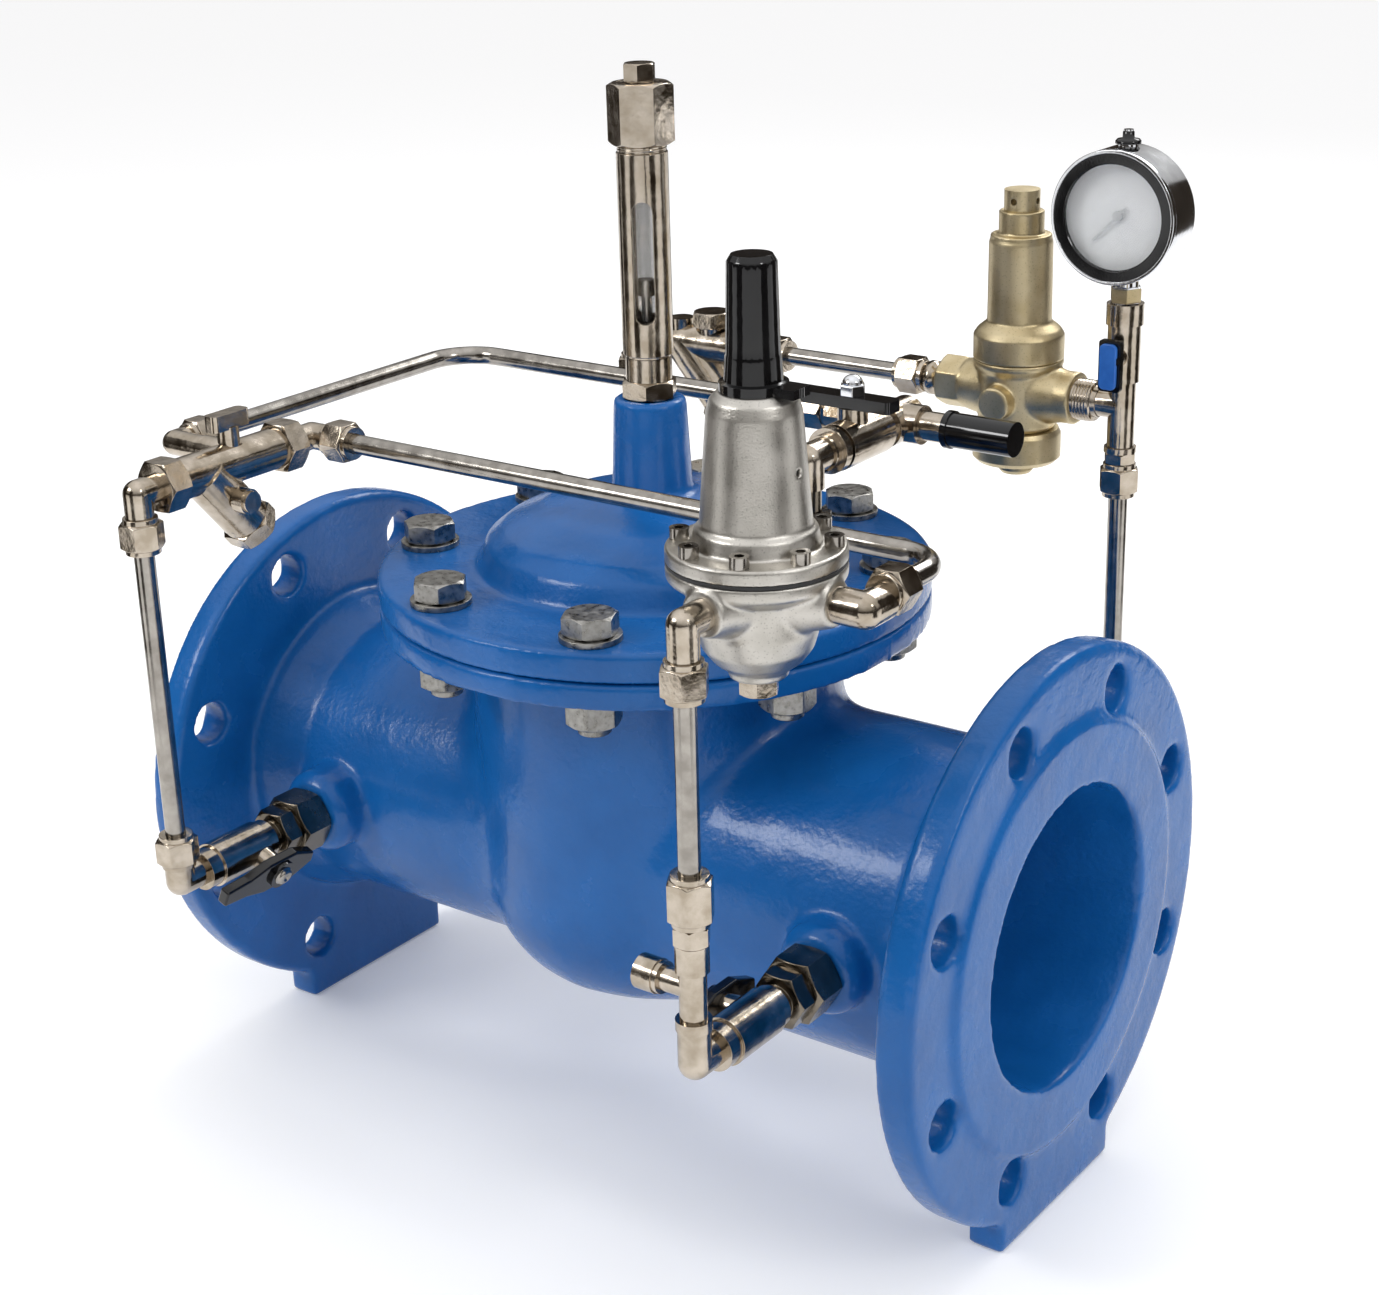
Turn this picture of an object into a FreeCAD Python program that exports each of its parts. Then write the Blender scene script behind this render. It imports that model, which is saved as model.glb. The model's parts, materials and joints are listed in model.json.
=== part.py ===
"""Pilot-operated pressure reducing valve, DN150 PN16, with its control piping.

Lengths are in millimetres. The model is laid out about the main valve's stem: x = 0 and
y = 0 on the stem axis, z = 0 on the pipe axis, +X downstream, +Z up. Each piece is then
shifted so that the row's origin is the centre of the inlet flange's sealing face.
"""
import FreeCAD, Part
import math
import os

Vec = FreeCAD.Vector
X, Y, Z = Vec(1, 0, 0), Vec(0, 1, 0), Vec(0, 0, 1)

# ---- driving dimensions: main valve -------------------------------------------------
FACE_TO_FACE = 480.0
FLANGE_R = 142.5
RAISED_FACE_R = 106.0
RAISED_FACE = 3.0
FLANGE_THICK = 22.0
FLANGE_PCD_R = 120.0
FLANGE_HOLE_R = 11.5
BOLT_COUNT = 8
BORE_R = 75.0
INLET_NECK_R = 78.0
OUTLET_NECK_R = 83.5
HUB_STEP = 9.0
NECK_BORE_R = 67.0
BOWL_R = 95.0
BOWL_DEPTH = 80.0
BOWL_CORNER_R = 62.0
FOOT_HALF_WIDTH = 55.0
FOOT_BOTTOM = -147.0
LOWER_CHAMBER_R = 68.0
UPPER_CHAMBER_R = 84.0
PASSAGE_START_X = 170.0

BODY_FLANGE_BOTTOM = 120.0
COVER_SEAT = 133.0
COVER_FLANGE_TOP = 148.0
COVER_R = 140.0
COVER_PCD_R = 120.0
COVER_HOLE_R = 9.0
DOME_R = 90.0
DOME_TOP = 184.0
NECK_TOP_R = 18.0
NECK_BASE_R = 20.4
NECK_TOP = 231.5
CENTRE_BORE_R = 10.5

STEM_R = 10.0
RUNNING_GAP = 0.05
SEAT_TOP = 34.0
SEAT_R = 58.0
DISC_R = 72.0
PLATE_R = 60.0
PLATE_LOW = 100.0
DIAPHRAGM_THICK = 3.0

# ---- driving dimensions: control piping ---------------------------------------------
TUBE_R = 5.0
TUBE_BORE_R = 4.0
PORT_Z = 205.0
CONTROL_Z = 210.0
SIDE_Y = 190.0
BOSS_FACE_Y = 97.0
BOSS_R = 18.0
ADAPTER_AF = 30.0
ADAPTER_LENGTH = 28.0
NUT_AF = 19.0
NUT_LENGTH = 18.0
ELBOW_R = 7.0
INLET_X = -164.0
OUTLET_X = 158.0
REAR_INLET_X = -155.0
REAR_OUTLET_X = 163.0
SUPPLY_Y = -72.0
CONTROL_X = -202.0
CONTROL_Y = 89.0
GROUP_X = 88.0
PILOT = Vec(158.0, -137.0, 0.0)
REDUCER = Vec(102.0, SIDE_Y, 0.0)

# Smaller parts
ADAPTER_SPIGOT = 12.0
ADAPTER_SPIGOT_R = 9.0
ADAPTER_END_Y = BOSS_FACE_Y + ADAPTER_LENGTH + 6
DIAPHRAGM_R = 106.0
COVER_PORT_Y = 8.0
COVER_PORT_TOP = 170.0
HOUSING_R = 12.5
GLASS_R = 9.0
PILOT_FLANGE_R = 38.5
PILOT_LOW = 207.0
PILOT_JOINT = 214.0
PILOT_BONNET_FOOT = 215.5
PILOT_FOOT_TOP = 222.0
PILOT_TOP = 287.0
PILOT_REACH = 40.0
SCREW_PCD_R = 33.0
RISER_NUT_LOW = 8.5
RISER_NUT_HIGH = 193.5
OUTLET_TEE_TOP = 67.0
OUTLET_NUT_HIGH = 187.0
PIPE_VALVE_END_Y = 177.0
REAR_TEE_LOW = 174.0
REAR_STRAINER_END = -62.0
FEED_END_X = 46.0
STRAINER_FRONT_Y = -179.0
STRAINER_BACK_Y = -86.0
SUPPLY_START_X = -152.0
SUPPLY_END_X = PILOT.x + 53.5
SUPPLY_NUT_Y = -124.0
CONTROL_START_Y = -122.0
CONTROL_END_X = 50.0
VALVE_BALL_R = 7.0
VALVE_STEM_R = 2.5
INLET_KEY = Vec(math.cos(math.radians(25)), 0, -math.sin(math.radians(25)))
OUTLET_KEY = Vec(-1, 0, 0)
LEG = Vec(0, math.cos(math.radians(50)), -math.sin(math.radians(50)))
LEG_START_Y = -149.0
LEG_R = 12.0
KEY_Y = -129.0
REAR_LEG = Vec(math.cos(math.radians(50)), 0, -math.sin(math.radians(50)))
REAR_LEG_X = -118.0
LEG_LENGTH = 40.0
GAUGE_R = 34.0
GAUGE_DEPTH = 28.0
GAUGE = Vec(REAR_OUTLET_X - 1, 172.0, 305.0)
INLET_BALL = Vec(INLET_X, -142.0, 0.0)
OUTLET_BALL = Vec(OUTLET_X, -142.0, 0.0)
GAUGE_BALL = Vec(REAR_OUTLET_X, SIDE_Y, 232.0)
CONTROL_BALL = Vec(GROUP_X, 48.0, CONTROL_Z)
COVER_BOLT_AF = 24.0
COVER_BOLT_R = 8.0
COVER_BOLT_LOW = 102.0
COVER_HEAD = 10.0
COVER_NUT = 14.0
WASHER_R = 15.0
WASHER_THICK = 3.0
SEAT_LOW = 20.0
SEAT_OUTER_R = 66.0
STEM_LOW = 5.0
STEM_SHOULDER_Z = 46.0
STEM_TOP = 190.0
ROD_R = 2.5
ROD_HEAD_Z = 282.0
HOUSING_LOW = 252.0
HOUSING_COLLAR_R = 11.5
GLASS_LENGTH = 100.0
SLOT_LOW = 274.8
SLOT_HIGH = 324.2
SLOT_WIDTH = 9.7
SLOT_TURN = -57.0
CAP_NUT_Z = 355.0
PILOT_BOTTOM = 162.5
PILOT_PLUG_R = 8.0
REDUCER_JOINT = 223.0
REDUCER_CAP_TOP = 185.0
REDUCER_TOP = 289.0
BRANCH_Z = 37.0
SIDE_BRANCH_Y = -130.0
REAR_PLUG_X = -98.0
REAR_BOSS_X = -120.0
GAUGE_VALVE_LOW = 218.0
GROUP_TEE_Y = 76.0
LEVER_GAP = 0.05


# ---- shape helpers --------------------------------------------------------------------
def at(x, y, z):
    return Vec(x, y, z)


def rod(start, direction, length, radius):
    return Part.makeCylinder(radius, length, start, direction)


def ring(start, direction, length, outer, inner):
    return rod(start, direction, length, outer).cut(rod(start, direction, length, inner))


def taper(start, direction, length, start_radius, end_radius):
    return Part.makeCone(start_radius, end_radius, length, start, direction)


def ball(centre, radius):
    return Part.makeSphere(radius, centre)


def fused(*shapes):
    first = shapes[0]
    return first.fuse(list(shapes[1:])).removeSplitter()


def side_of(direction):
    """A unit vector square to direction, level wherever it can be."""
    across = Z.cross(direction)
    if across.Length < 1e-6:
        return Vec(1, 0, 0)
    return across.normalize()


def hexagon(start, direction, length, across_flats, chamfer=True, turn=0.0):
    """Hexagonal prism with its corners eased by a cone at both ends."""
    corner = across_flats / math.sqrt(3)
    first = side_of(direction)
    second = Vec(direction).cross(first)
    points = []
    for index in range(7):
        angle = math.radians(60 * index + turn)
        points.append(start + first * (corner * math.cos(angle)) + second * (corner * math.sin(angle)))
    prism = Part.Face(Part.makePolygon(points)).extrude(Vec(direction).normalize() * length)
    if not chamfer:
        return prism
    ease = corner - across_flats / 2 * 0.97
    drop = ease * 0.6
    axis = Vec(direction).normalize()
    cone_low = taper(start, axis, drop, corner - ease, corner)
    middle = rod(start + axis * drop, axis, length - 2 * drop, corner)
    cone_high = taper(start + axis * (length - drop), axis, drop, corner, corner - ease)
    return prism.common(fused(cone_low, middle, cone_high))


def turned(centre, points):
    """Solid of revolution about the vertical line through centre; points are (radius, z)."""
    corners = [centre + Vec(radius, 0, z) for radius, z in points]
    face = Part.Face(Part.makePolygon(corners + corners[:1]))
    return face.revolve(centre, Z, 360)


def turned_along(centre, direction, points):
    """Solid of revolution about any axis; points are (radius, distance along the axis)."""
    axis = Vec(direction).normalize()
    side = side_of(axis)
    corners = [centre + side * radius + axis * along for radius, along in points]
    face = Part.Face(Part.makePolygon(corners + corners[:1]))
    return face.revolve(centre, axis, 360)


def around(centre, axis, count, first_angle, make):
    """Copies of make(), turned evenly about an axis."""
    copies = []
    for index in range(count):
        copy = make()
        copy.rotate(centre, axis, first_angle + 360.0 * index / count)
        copies.append(copy)
    return copies


def bent_tube(points, bend_radius):
    """Hollow tube along straight runs with tangent arcs at the corners."""
    edges = []
    start = points[0]
    for index in range(1, len(points) - 1):
        corner = points[index]
        towards = (corner - points[index - 1]).normalize()
        away = (points[index + 1] - corner).normalize()
        half_turn = towards.getAngle(away) / 2
        setback = bend_radius * math.tan(half_turn)
        arc_start = corner - towards * setback
        arc_end = corner + away * setback
        inward = (away - towards).normalize()
        middle = corner + inward * (bend_radius / math.cos(half_turn) - bend_radius)
        edges.append(Part.LineSegment(start, arc_start).toShape())
        edges.append(Part.Arc(arc_start, middle, arc_end).toShape())
        start = arc_end
    edges.append(Part.LineSegment(start, points[-1]).toShape())
    path = Part.Wire(edges)
    first = (points[1] - points[0]).normalize()
    outer = Part.Wire(Part.makeCircle(TUBE_R, points[0], first))
    inner = Part.Wire(Part.makeCircle(TUBE_BORE_R, points[0], first))
    return path.makePipeShell([outer], True, True).cut(path.makePipeShell([inner], True, True))


def coil(centre, mean_radius, wire_radius, bottom, top, turns):
    """Open coil spring standing on z = bottom."""
    height = top - bottom - 2 * wire_radius
    helix = Part.makeHelix(height / turns, height, mean_radius)
    helix.translate(centre + Vec(0, 0, bottom + wire_radius))
    start = centre + Vec(mean_radius, 0, bottom + wire_radius)
    profile = Part.Wire(Part.makeCircle(wire_radius, start, Y))
    return Part.Wire(helix).makePipeShell([profile], True, True)


def elbow(corner, first, first_length, second, second_length, radius=ELBOW_R):
    """Forged right-angle elbow with a bore right through."""
    outside = fused(
        rod(corner, first, first_length, radius),
        rod(corner, second, second_length, radius),
        ball(corner, radius),
    )
    bore = fused(
        rod(corner, first, first_length + 1, TUBE_BORE_R),
        rod(corner, second, second_length + 1, TUBE_BORE_R),
        ball(corner, TUBE_BORE_R),
    )
    return outside.cut(bore)


def compression_nut(start, direction, length=NUT_LENGTH, across_flats=NUT_AF):
    """Hexagon union nut with a round collar at each end, bored for the tube."""
    axis = Vec(direction).normalize()
    collar = 2.5
    outside = fused(
        rod(start, axis, length, across_flats * 0.45),
        hexagon(start + axis * collar, axis, length - 2 * collar, across_flats),
    )
    return outside.cut(rod(start, axis, length, TUBE_R + RUNNING_GAP))


def boss_adapter(x, side):
    """Hexagon nipple screwed into one of the body's pressure tappings."""
    axis = Y * side
    face = at(x, side * BOSS_FACE_Y, 0)
    outside = fused(
        hexagon(face, axis, ADAPTER_LENGTH - 9, ADAPTER_AF),
        rod(face - axis * ADAPTER_SPIGOT, axis, ADAPTER_SPIGOT, ADAPTER_SPIGOT_R),
        hexagon(face + axis * (ADAPTER_LENGTH - 9), axis, 11, 25),
        rod(face + axis * ADAPTER_LENGTH, axis, 6, 8.5),
    )
    return outside.cut(rod(face - axis * 20, axis, 60, TUBE_BORE_R))


# ---- main valve -----------------------------------------------------------------------
def flange(side):
    """Pipe flange with raised face, support foot and hub, on the side +1 or -1 of the stem."""
    axis = X * side
    face = axis * (FACE_TO_FACE / 2)
    back = axis * (FACE_TO_FACE / 2 - FLANGE_THICK)
    rim = FLANGE_THICK - RAISED_FACE
    low_x = min(back.x, back.x + side * rim)
    foot = Part.makeBox(rim, 2 * FOOT_HALF_WIDTH, 40, at(low_x, -FOOT_HALF_WIDTH, FOOT_BOTTOM))
    disc = rod(back, axis, rim, FLANGE_R)
    disc = disc.makeFillet(3.0, [edge for edge in disc.Edges if edge.Length > 800])
    return fused(disc, foot, rod(face - axis * RAISED_FACE, axis, RAISED_FACE, RAISED_FACE_R))


def flange_holes(side):
    start = X * (side * (FACE_TO_FACE / 2 - FLANGE_THICK - 5))

    def hole():
        return rod(start + Z * FLANGE_PCD_R, X * side, FLANGE_THICK + 10, FLANGE_HOLE_R)

    return around(Vec(), X, BOLT_COUNT, 22.5, hole)


def cover_bolt_holes(low, high, radius):
    def hole():
        return rod(at(COVER_PCD_R, 0, low), Z, high - low, radius)

    return around(Vec(), Z, BOLT_COUNT, 22.5, hole)


def passage(side, end_x, end_z, end_radius):
    """Waterway from a flange's bore to the seat, narrowing and bending up or down."""
    face = Vec(side * FACE_TO_FACE / 2, 0, 0)
    start = Vec(side * PASSAGE_START_X, 0, 0)
    end = at(side * end_x, 0, end_z)
    wide = Part.Wire(Part.makeCircle(NECK_BORE_R, start, X))
    narrow = Part.Wire(Part.makeCircle(end_radius, end, X))
    bend = Part.makeLoft([wide, narrow], True)
    mouth = taper(face, X * -side, FACE_TO_FACE / 2 - PASSAGE_START_X, BORE_R, NECK_BORE_R)
    inner = rod(end, X * -side, end_x, end_radius)
    return fused(mouth, bend, inner)


def make_casting():
    """Outer shape of the necks and the bowl between them."""
    hub_x = FACE_TO_FACE / 2 - FLANGE_THICK
    barrel = turned_along(Vec(), X, [
        (0, -hub_x), (INLET_NECK_R + HUB_STEP, -hub_x), (INLET_NECK_R + HUB_STEP, -hub_x + 6),
        (INLET_NECK_R, -hub_x + 30), (INLET_NECK_R, 0), (OUTLET_NECK_R, 0),
        (OUTLET_NECK_R, hub_x - 30), (OUTLET_NECK_R + HUB_STEP, hub_x - 6),
        (OUTLET_NECK_R + HUB_STEP, hub_x), (0, hub_x),
    ])
    bowl = rod(Z * -BOWL_DEPTH, Z, BODY_FLANGE_BOTTOM + BOWL_DEPTH, BOWL_R)
    low_edges = [edge for edge in bowl.Edges if edge.BoundBox.ZMax < 1 - BOWL_DEPTH]
    bowl = bowl.makeFillet(BOWL_CORNER_R, low_edges)
    return fused(barrel, bowl)


def make_main_body():
    throat = taper(Z * (BODY_FLANGE_BOTTOM - 10), Z, 10, BOWL_R, BOWL_R + 7)
    top = rod(Z * BODY_FLANGE_BOTTOM, Z, COVER_SEAT - BODY_FLANGE_BOTTOM, COVER_R)
    bosses = []
    for x, side in tapping_places():
        root = at(x, side * 60, 0)
        bosses.append(rod(root, Y * side, BOSS_FACE_Y - 66, BOSS_R + 5))
        bosses.append(taper(at(x, side * (BOSS_FACE_Y - 6), 0), Y * side, 6, BOSS_R + 5, BOSS_R))
    body = fused(make_casting(), throat, top, flange(1), flange(-1), *bosses)

    lower = ball(Vec(), LOWER_CHAMBER_R).common(rod(Z * -80, Z, 88, 80))
    upper = turned(Vec(), [
        (0, 30), (SEAT_OUTER_R, 30), (UPPER_CHAMBER_R, 55), (UPPER_CHAMBER_R, COVER_SEAT), (0, COVER_SEAT),
    ])
    seat_pocket = rod(Z * SEAT_LOW, Z, 20, SEAT_OUTER_R + RUNNING_GAP)
    throat_bore = rod(Vec(), Z, SEAT_LOW + 5, SEAT_R + 2)
    rim_recess = rod(Z * (COVER_SEAT - DIAPHRAGM_THICK), Z, 10, DIAPHRAGM_R + RUNNING_GAP)
    tools = [lower, upper, seat_pocket, throat_bore, rim_recess]
    tools += [passage(-1, 40, -30, 30), passage(1, 60, 56, 26)]
    tools += flange_holes(1) + flange_holes(-1)
    tools += cover_bolt_holes(BODY_FLANGE_BOTTOM - 5, COVER_SEAT + 5, COVER_HOLE_R)
    for x, side in tapping_places():
        face = at(x, side * BOSS_FACE_Y, 0)
        tools.append(rod(face, Y * -side, ADAPTER_SPIGOT, ADAPTER_SPIGOT_R + RUNNING_GAP))
        tools.append(rod(face, Y * -side, BOSS_FACE_Y - 50, TUBE_BORE_R))
    return body.cut(tools)


def tapping_places():
    return [(INLET_X, -1), (OUTLET_X, -1), (REAR_INLET_X, 1), (REAR_OUTLET_X, 1)]


def make_cover():
    outside = turned(Vec(), [
        (0, COVER_SEAT), (COVER_R, COVER_SEAT), (COVER_R, COVER_FLANGE_TOP),
        (DOME_R, COVER_FLANGE_TOP), (DOME_R - 5, COVER_FLANGE_TOP + 13), (DOME_R - 14, 168),
        (DOME_R - 34, 176.5), (DOME_R - 58, 182), (NECK_BASE_R, DOME_TOP + 0.6),
        (NECK_TOP_R, NECK_TOP), (0, NECK_TOP),
    ])
    port = rod(at(GROUP_X, COVER_PORT_Y, COVER_SEAT), Z, COVER_PORT_TOP - COVER_SEAT, 14)
    inside = turned(Vec(), [
        (0, COVER_SEAT), (80, COVER_SEAT), (78, 152), (66, 160), (40, 168), (22, 171), (0, 171),
    ])
    tools = [inside, rod(Z * 160, Z, NECK_TOP - 159, CENTRE_BORE_R)]
    tools += cover_bolt_holes(COVER_SEAT - 5, COVER_FLANGE_TOP + 5, COVER_HOLE_R)
    spigot_low = Z * (COVER_PORT_TOP - 10)
    tools.append(rod(at(GROUP_X, COVER_PORT_Y, 0) + spigot_low, Z, 10, 8 + RUNNING_GAP))
    tools.append(rod(at(GROUP_X, COVER_PORT_Y, 145), at(-1, 0, 0), 14, TUBE_BORE_R))
    tools.append(rod(at(GROUP_X, COVER_PORT_Y, 142), Z, 20, TUBE_BORE_R))
    return fused(outside, port).cut(tools)


def make_cover_bolts():
    def bolt():
        head = hexagon(at(COVER_PCD_R, 0, COVER_FLANGE_TOP + WASHER_THICK), Z, COVER_HEAD, COVER_BOLT_AF)
        length = COVER_FLANGE_TOP + WASHER_THICK - COVER_BOLT_LOW
        shank = rod(at(COVER_PCD_R, 0, COVER_BOLT_LOW), Z, length, COVER_BOLT_R)
        return fused(head, shank)

    return around(Vec(), Z, BOLT_COUNT, 22.5, bolt)


def make_cover_washers():
    def washer():
        return ring(at(COVER_PCD_R, 0, COVER_FLANGE_TOP), Z, WASHER_THICK, WASHER_R, COVER_BOLT_R + 0.5)

    return around(Vec(), Z, BOLT_COUNT, 22.5, washer)


def make_cover_nuts():
    def nut():
        body = hexagon(at(COVER_PCD_R, 0, BODY_FLANGE_BOTTOM - COVER_NUT), Z, COVER_NUT, COVER_BOLT_AF)
        return body.cut(rod(at(COVER_PCD_R, 0, COVER_BOLT_LOW - 2), Z, 25, COVER_BOLT_R + RUNNING_GAP))

    return around(Vec(), Z, BOLT_COUNT, 22.5, nut)


def make_seat_ring():
    rim = turned(Vec(), [
        (SEAT_R, SEAT_LOW), (SEAT_OUTER_R, SEAT_LOW), (SEAT_OUTER_R, SEAT_LOW + 10),
        (SEAT_OUTER_R - 3, SEAT_TOP), (SEAT_R, SEAT_TOP),
    ])
    hub = ring(Z * SEAT_LOW, Z, 10, 16, STEM_R + RUNNING_GAP)
    arms = []
    for index in range(4):
        arm = Part.makeBox(SEAT_R - 11, 6, 8, at(14, -3, SEAT_LOW + 1))
        arm.rotate(Vec(), Z, 45 + 90 * index)
        arms.append(arm)
    return fused(rim, hub, *arms)


def make_stem():
    shoulder = rod(Z * STEM_SHOULDER_Z, Z, 6, 14)
    lower = rod(Z * STEM_LOW, Z, STEM_SHOULDER_Z - STEM_LOW, STEM_R)
    upper = rod(Z * (STEM_SHOULDER_Z + 6), Z, STEM_TOP - STEM_SHOULDER_Z - 6, STEM_R)
    return fused(lower, shoulder, upper)


def make_valve_disc():
    return turned(Vec(), [
        (14.05, STEM_SHOULDER_Z), (40, STEM_SHOULDER_Z), (40, SEAT_TOP), (49.9, SEAT_TOP), (49.9, 40),
        (DISC_R, 40), (DISC_R, 52), (24, 56), (24, 70), (STEM_R, 70), (STEM_R, 52), (14.05, 52),
    ])


def make_disc_seal():
    return ring(Z * SEAT_TOP, Z, 6, 68, 50)


def make_diaphragm():
    low = PLATE_LOW + 6
    high = COVER_SEAT - DIAPHRAGM_THICK
    return turned(Vec(), [
        (STEM_R, low), (PLATE_R + 4, low), (84, high), (DIAPHRAGM_R, high), (DIAPHRAGM_R, COVER_SEAT),
        (82, COVER_SEAT), (PLATE_R + 3, low + 3), (STEM_R, low + 3),
    ])


def make_diaphragm_plates():
    under = turned(Vec(), [(STEM_R, 70), (20, 70), (20, 96), (PLATE_R, 100), (PLATE_R, 106), (STEM_R, 106)])
    over = ring(Z * 109, Z, 6, PLATE_R, STEM_R)
    return [under, over]


def make_stem_nut():
    return hexagon(Z * 115, Z, 12, 30).cut(rod(Z * 115, Z, 12, STEM_R))


def make_main_spring():
    return coil(Vec(), 32, 2.5, 115.05, 168, 4)


def make_indicator_rod():
    return fused(rod(Z * STEM_TOP, Z, ROD_HEAD_Z - STEM_TOP, ROD_R), rod(Z * ROD_HEAD_Z, Z, 8, 4))


# ---- opening indicator ------------------------------------------------------------------
def make_sight_base_nut():
    outside = fused(hexagon(Z * NECK_TOP, Z, 9, 25), rod(Z * (HOUSING_LOW - 12), Z, 12, HOUSING_COLLAR_R))
    return outside.cut(rod(Z * NECK_TOP, Z, 30, CENTRE_BORE_R - 2))


def make_sight_housing():
    barrel = rod(Z * (HOUSING_LOW + 1.4), Z, 98.2, HOUSING_R)
    outside = fused(rod(Z * HOUSING_LOW, Z, 1.4, 11.3), barrel, rod(Z * 351.6, Z, 32.4, HOUSING_COLLAR_R))
    outside = outside.cut(rod(Z * HOUSING_LOW, Z, 140, GLASS_R + RUNNING_GAP))
    slot = fused(
        Part.makeBox(40, SLOT_WIDTH, SLOT_HIGH - SLOT_LOW, at(0, -SLOT_WIDTH / 2, SLOT_LOW)),
        rod(at(0, 0, SLOT_LOW), X, 40, SLOT_WIDTH / 2),
        rod(at(0, 0, SLOT_HIGH), X, 40, SLOT_WIDTH / 2),
    )
    slot.rotate(Vec(), Z, SLOT_TURN)
    opposite = slot.copy()
    opposite.rotate(Vec(), Z, 180)
    return outside.cut([slot, opposite])


def make_sight_glass():
    return ring(Z * HOUSING_LOW, Z, GLASS_LENGTH, GLASS_R, GLASS_R - 2)


def make_sight_cap_nut():
    nut = hexagon(Z * CAP_NUT_Z, Z, 29, 28, turn=30)
    return nut.cut(rod(Z * CAP_NUT_Z, Z, 29, HOUSING_COLLAR_R + RUNNING_GAP))


def make_sight_vent_plug():
    return fused(rod(Z * 374, Z, 10, GLASS_R), hexagon(Z * 384, Z, 9, 14))


# ---- pilot --------------------------------------------------------------------------------
def pilot_point(radius, z, axis=X):
    return PILOT + axis * radius + Z * z


def make_pilot_body():
    bowl = turned(PILOT, [
        (0, 166), (13, 166), (19, 170), (24, 176.5), (26.5, 185), (27, 196), (28.5, 202),
        (PILOT_FLANGE_R - 1.5, PILOT_LOW), (PILOT_FLANGE_R, PILOT_LOW + 1.5),
        (PILOT_FLANGE_R, PILOT_JOINT), (0, PILOT_JOINT),
    ])
    collar = rod(pilot_point(0, PILOT_BOTTOM), Z, 4, 13)
    ports = []
    for axis in (X, -Y):
        ports.append(taper(pilot_point(18, PORT_Z - 3, axis), axis, PILOT_REACH - 18, 17, 10))
    body = fused(bowl, collar, *ports)
    body = body.cut(rod(pilot_point(0, PILOT_JOINT), Z, 20, 60))
    cavity = turned(PILOT, [(0, 208), (28, 208), (28, PILOT_JOINT), (0, PILOT_JOINT)])
    chamber = rod(pilot_point(0, 176), Z, 20, 9)
    guide = rod(pilot_point(0, 170), Z, 45, 3 + RUNNING_GAP)
    plug_bore = rod(pilot_point(0, PILOT_BOTTOM), Z, 14, PILOT_PLUG_R + RUNNING_GAP)
    tools = [cavity, chamber, guide, plug_bore, rod(pilot_point(0, 190), Z, 10, 5)]
    for axis in (X, -Y):
        tools.append(rod(pilot_point(4, PORT_Z - 3, axis), axis, PILOT_REACH, TUBE_BORE_R))
    tools += pilot_screw_holes(209, PILOT_JOINT + 1, 2.55)
    return body.cut(tools)


def pilot_screw_holes(low, high, radius):
    def hole():
        return rod(pilot_point(SCREW_PCD_R, low), Z, high - low, radius)

    return around(PILOT, Z, BOLT_COUNT, 22.5, hole)


def make_pilot_bonnet():
    outside = turned(PILOT, [
        (0, PILOT_BONNET_FOOT), (PILOT_FLANGE_R, PILOT_BONNET_FOOT), (PILOT_FLANGE_R, PILOT_FOOT_TOP - 1),
        (PILOT_FLANGE_R - 1, PILOT_FOOT_TOP), (27.5, PILOT_FOOT_TOP), (26, 229), (23.8, 231),
        (20, 279), (18.5, 284), (15.5, PILOT_TOP), (0, PILOT_TOP),
    ])
    inside = turned(PILOT, [
        (0, PILOT_BONNET_FOOT), (24, PILOT_BONNET_FOOT), (22, 224), (19, 231), (16, 275), (0, 275),
    ])
    tools = [inside, rod(pilot_point(0, 270), Z, 20, 5 + RUNNING_GAP)]
    tools.append(rod(pilot_point(0, 255), X, 40, 1.6))
    tools += pilot_screw_holes(PILOT_BONNET_FOOT - 1, PILOT_FOOT_TOP + 1, 2.8)
    return outside.cut(tools)


def make_pilot_diaphragm():
    sheet = rod(pilot_point(0, PILOT_JOINT), Z, PILOT_BONNET_FOOT - PILOT_JOINT, PILOT_FLANGE_R)
    holes = pilot_screw_holes(PILOT_JOINT - 1, PILOT_BONNET_FOOT + 1, 2.8)
    return sheet.cut(holes + [rod(pilot_point(0, PILOT_JOINT - 1), Z, 4, 3 + RUNNING_GAP)])


def make_pilot_screws():
    def screw():
        head = rod(pilot_point(SCREW_PCD_R, PILOT_FOOT_TOP), Z, 5, 4.25)
        socket = hexagon(pilot_point(SCREW_PCD_R, PILOT_FOOT_TOP + 2.5), Z, 3, 4, chamfer=False)
        shank = rod(pilot_point(SCREW_PCD_R, 210), Z, PILOT_FOOT_TOP - 210, 2.5)
        return fused(head.cut(socket), shank)

    return around(PILOT, Z, BOLT_COUNT, 22.5, screw)


def make_pilot_cap():
    outside = turned(PILOT, [
        (0, PILOT_TOP), (14.5, PILOT_TOP), (14.5, 291), (12.3, 291.6), (11.6, 302), (11.3, 302.6),
        (10.4, 340), (8.6, 343), (0, 343),
    ])
    tab = Part.makeBox(12, 12, 4, pilot_point(11.5, PILOT_TOP) - Y * 6)
    tab = tab.fuse(rod(pilot_point(20, PILOT_TOP), Z, 4, 4))
    outside = fused(outside, tab)
    return outside.cut(rod(pilot_point(0, PILOT_TOP), Z, 50, 8.4))


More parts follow.
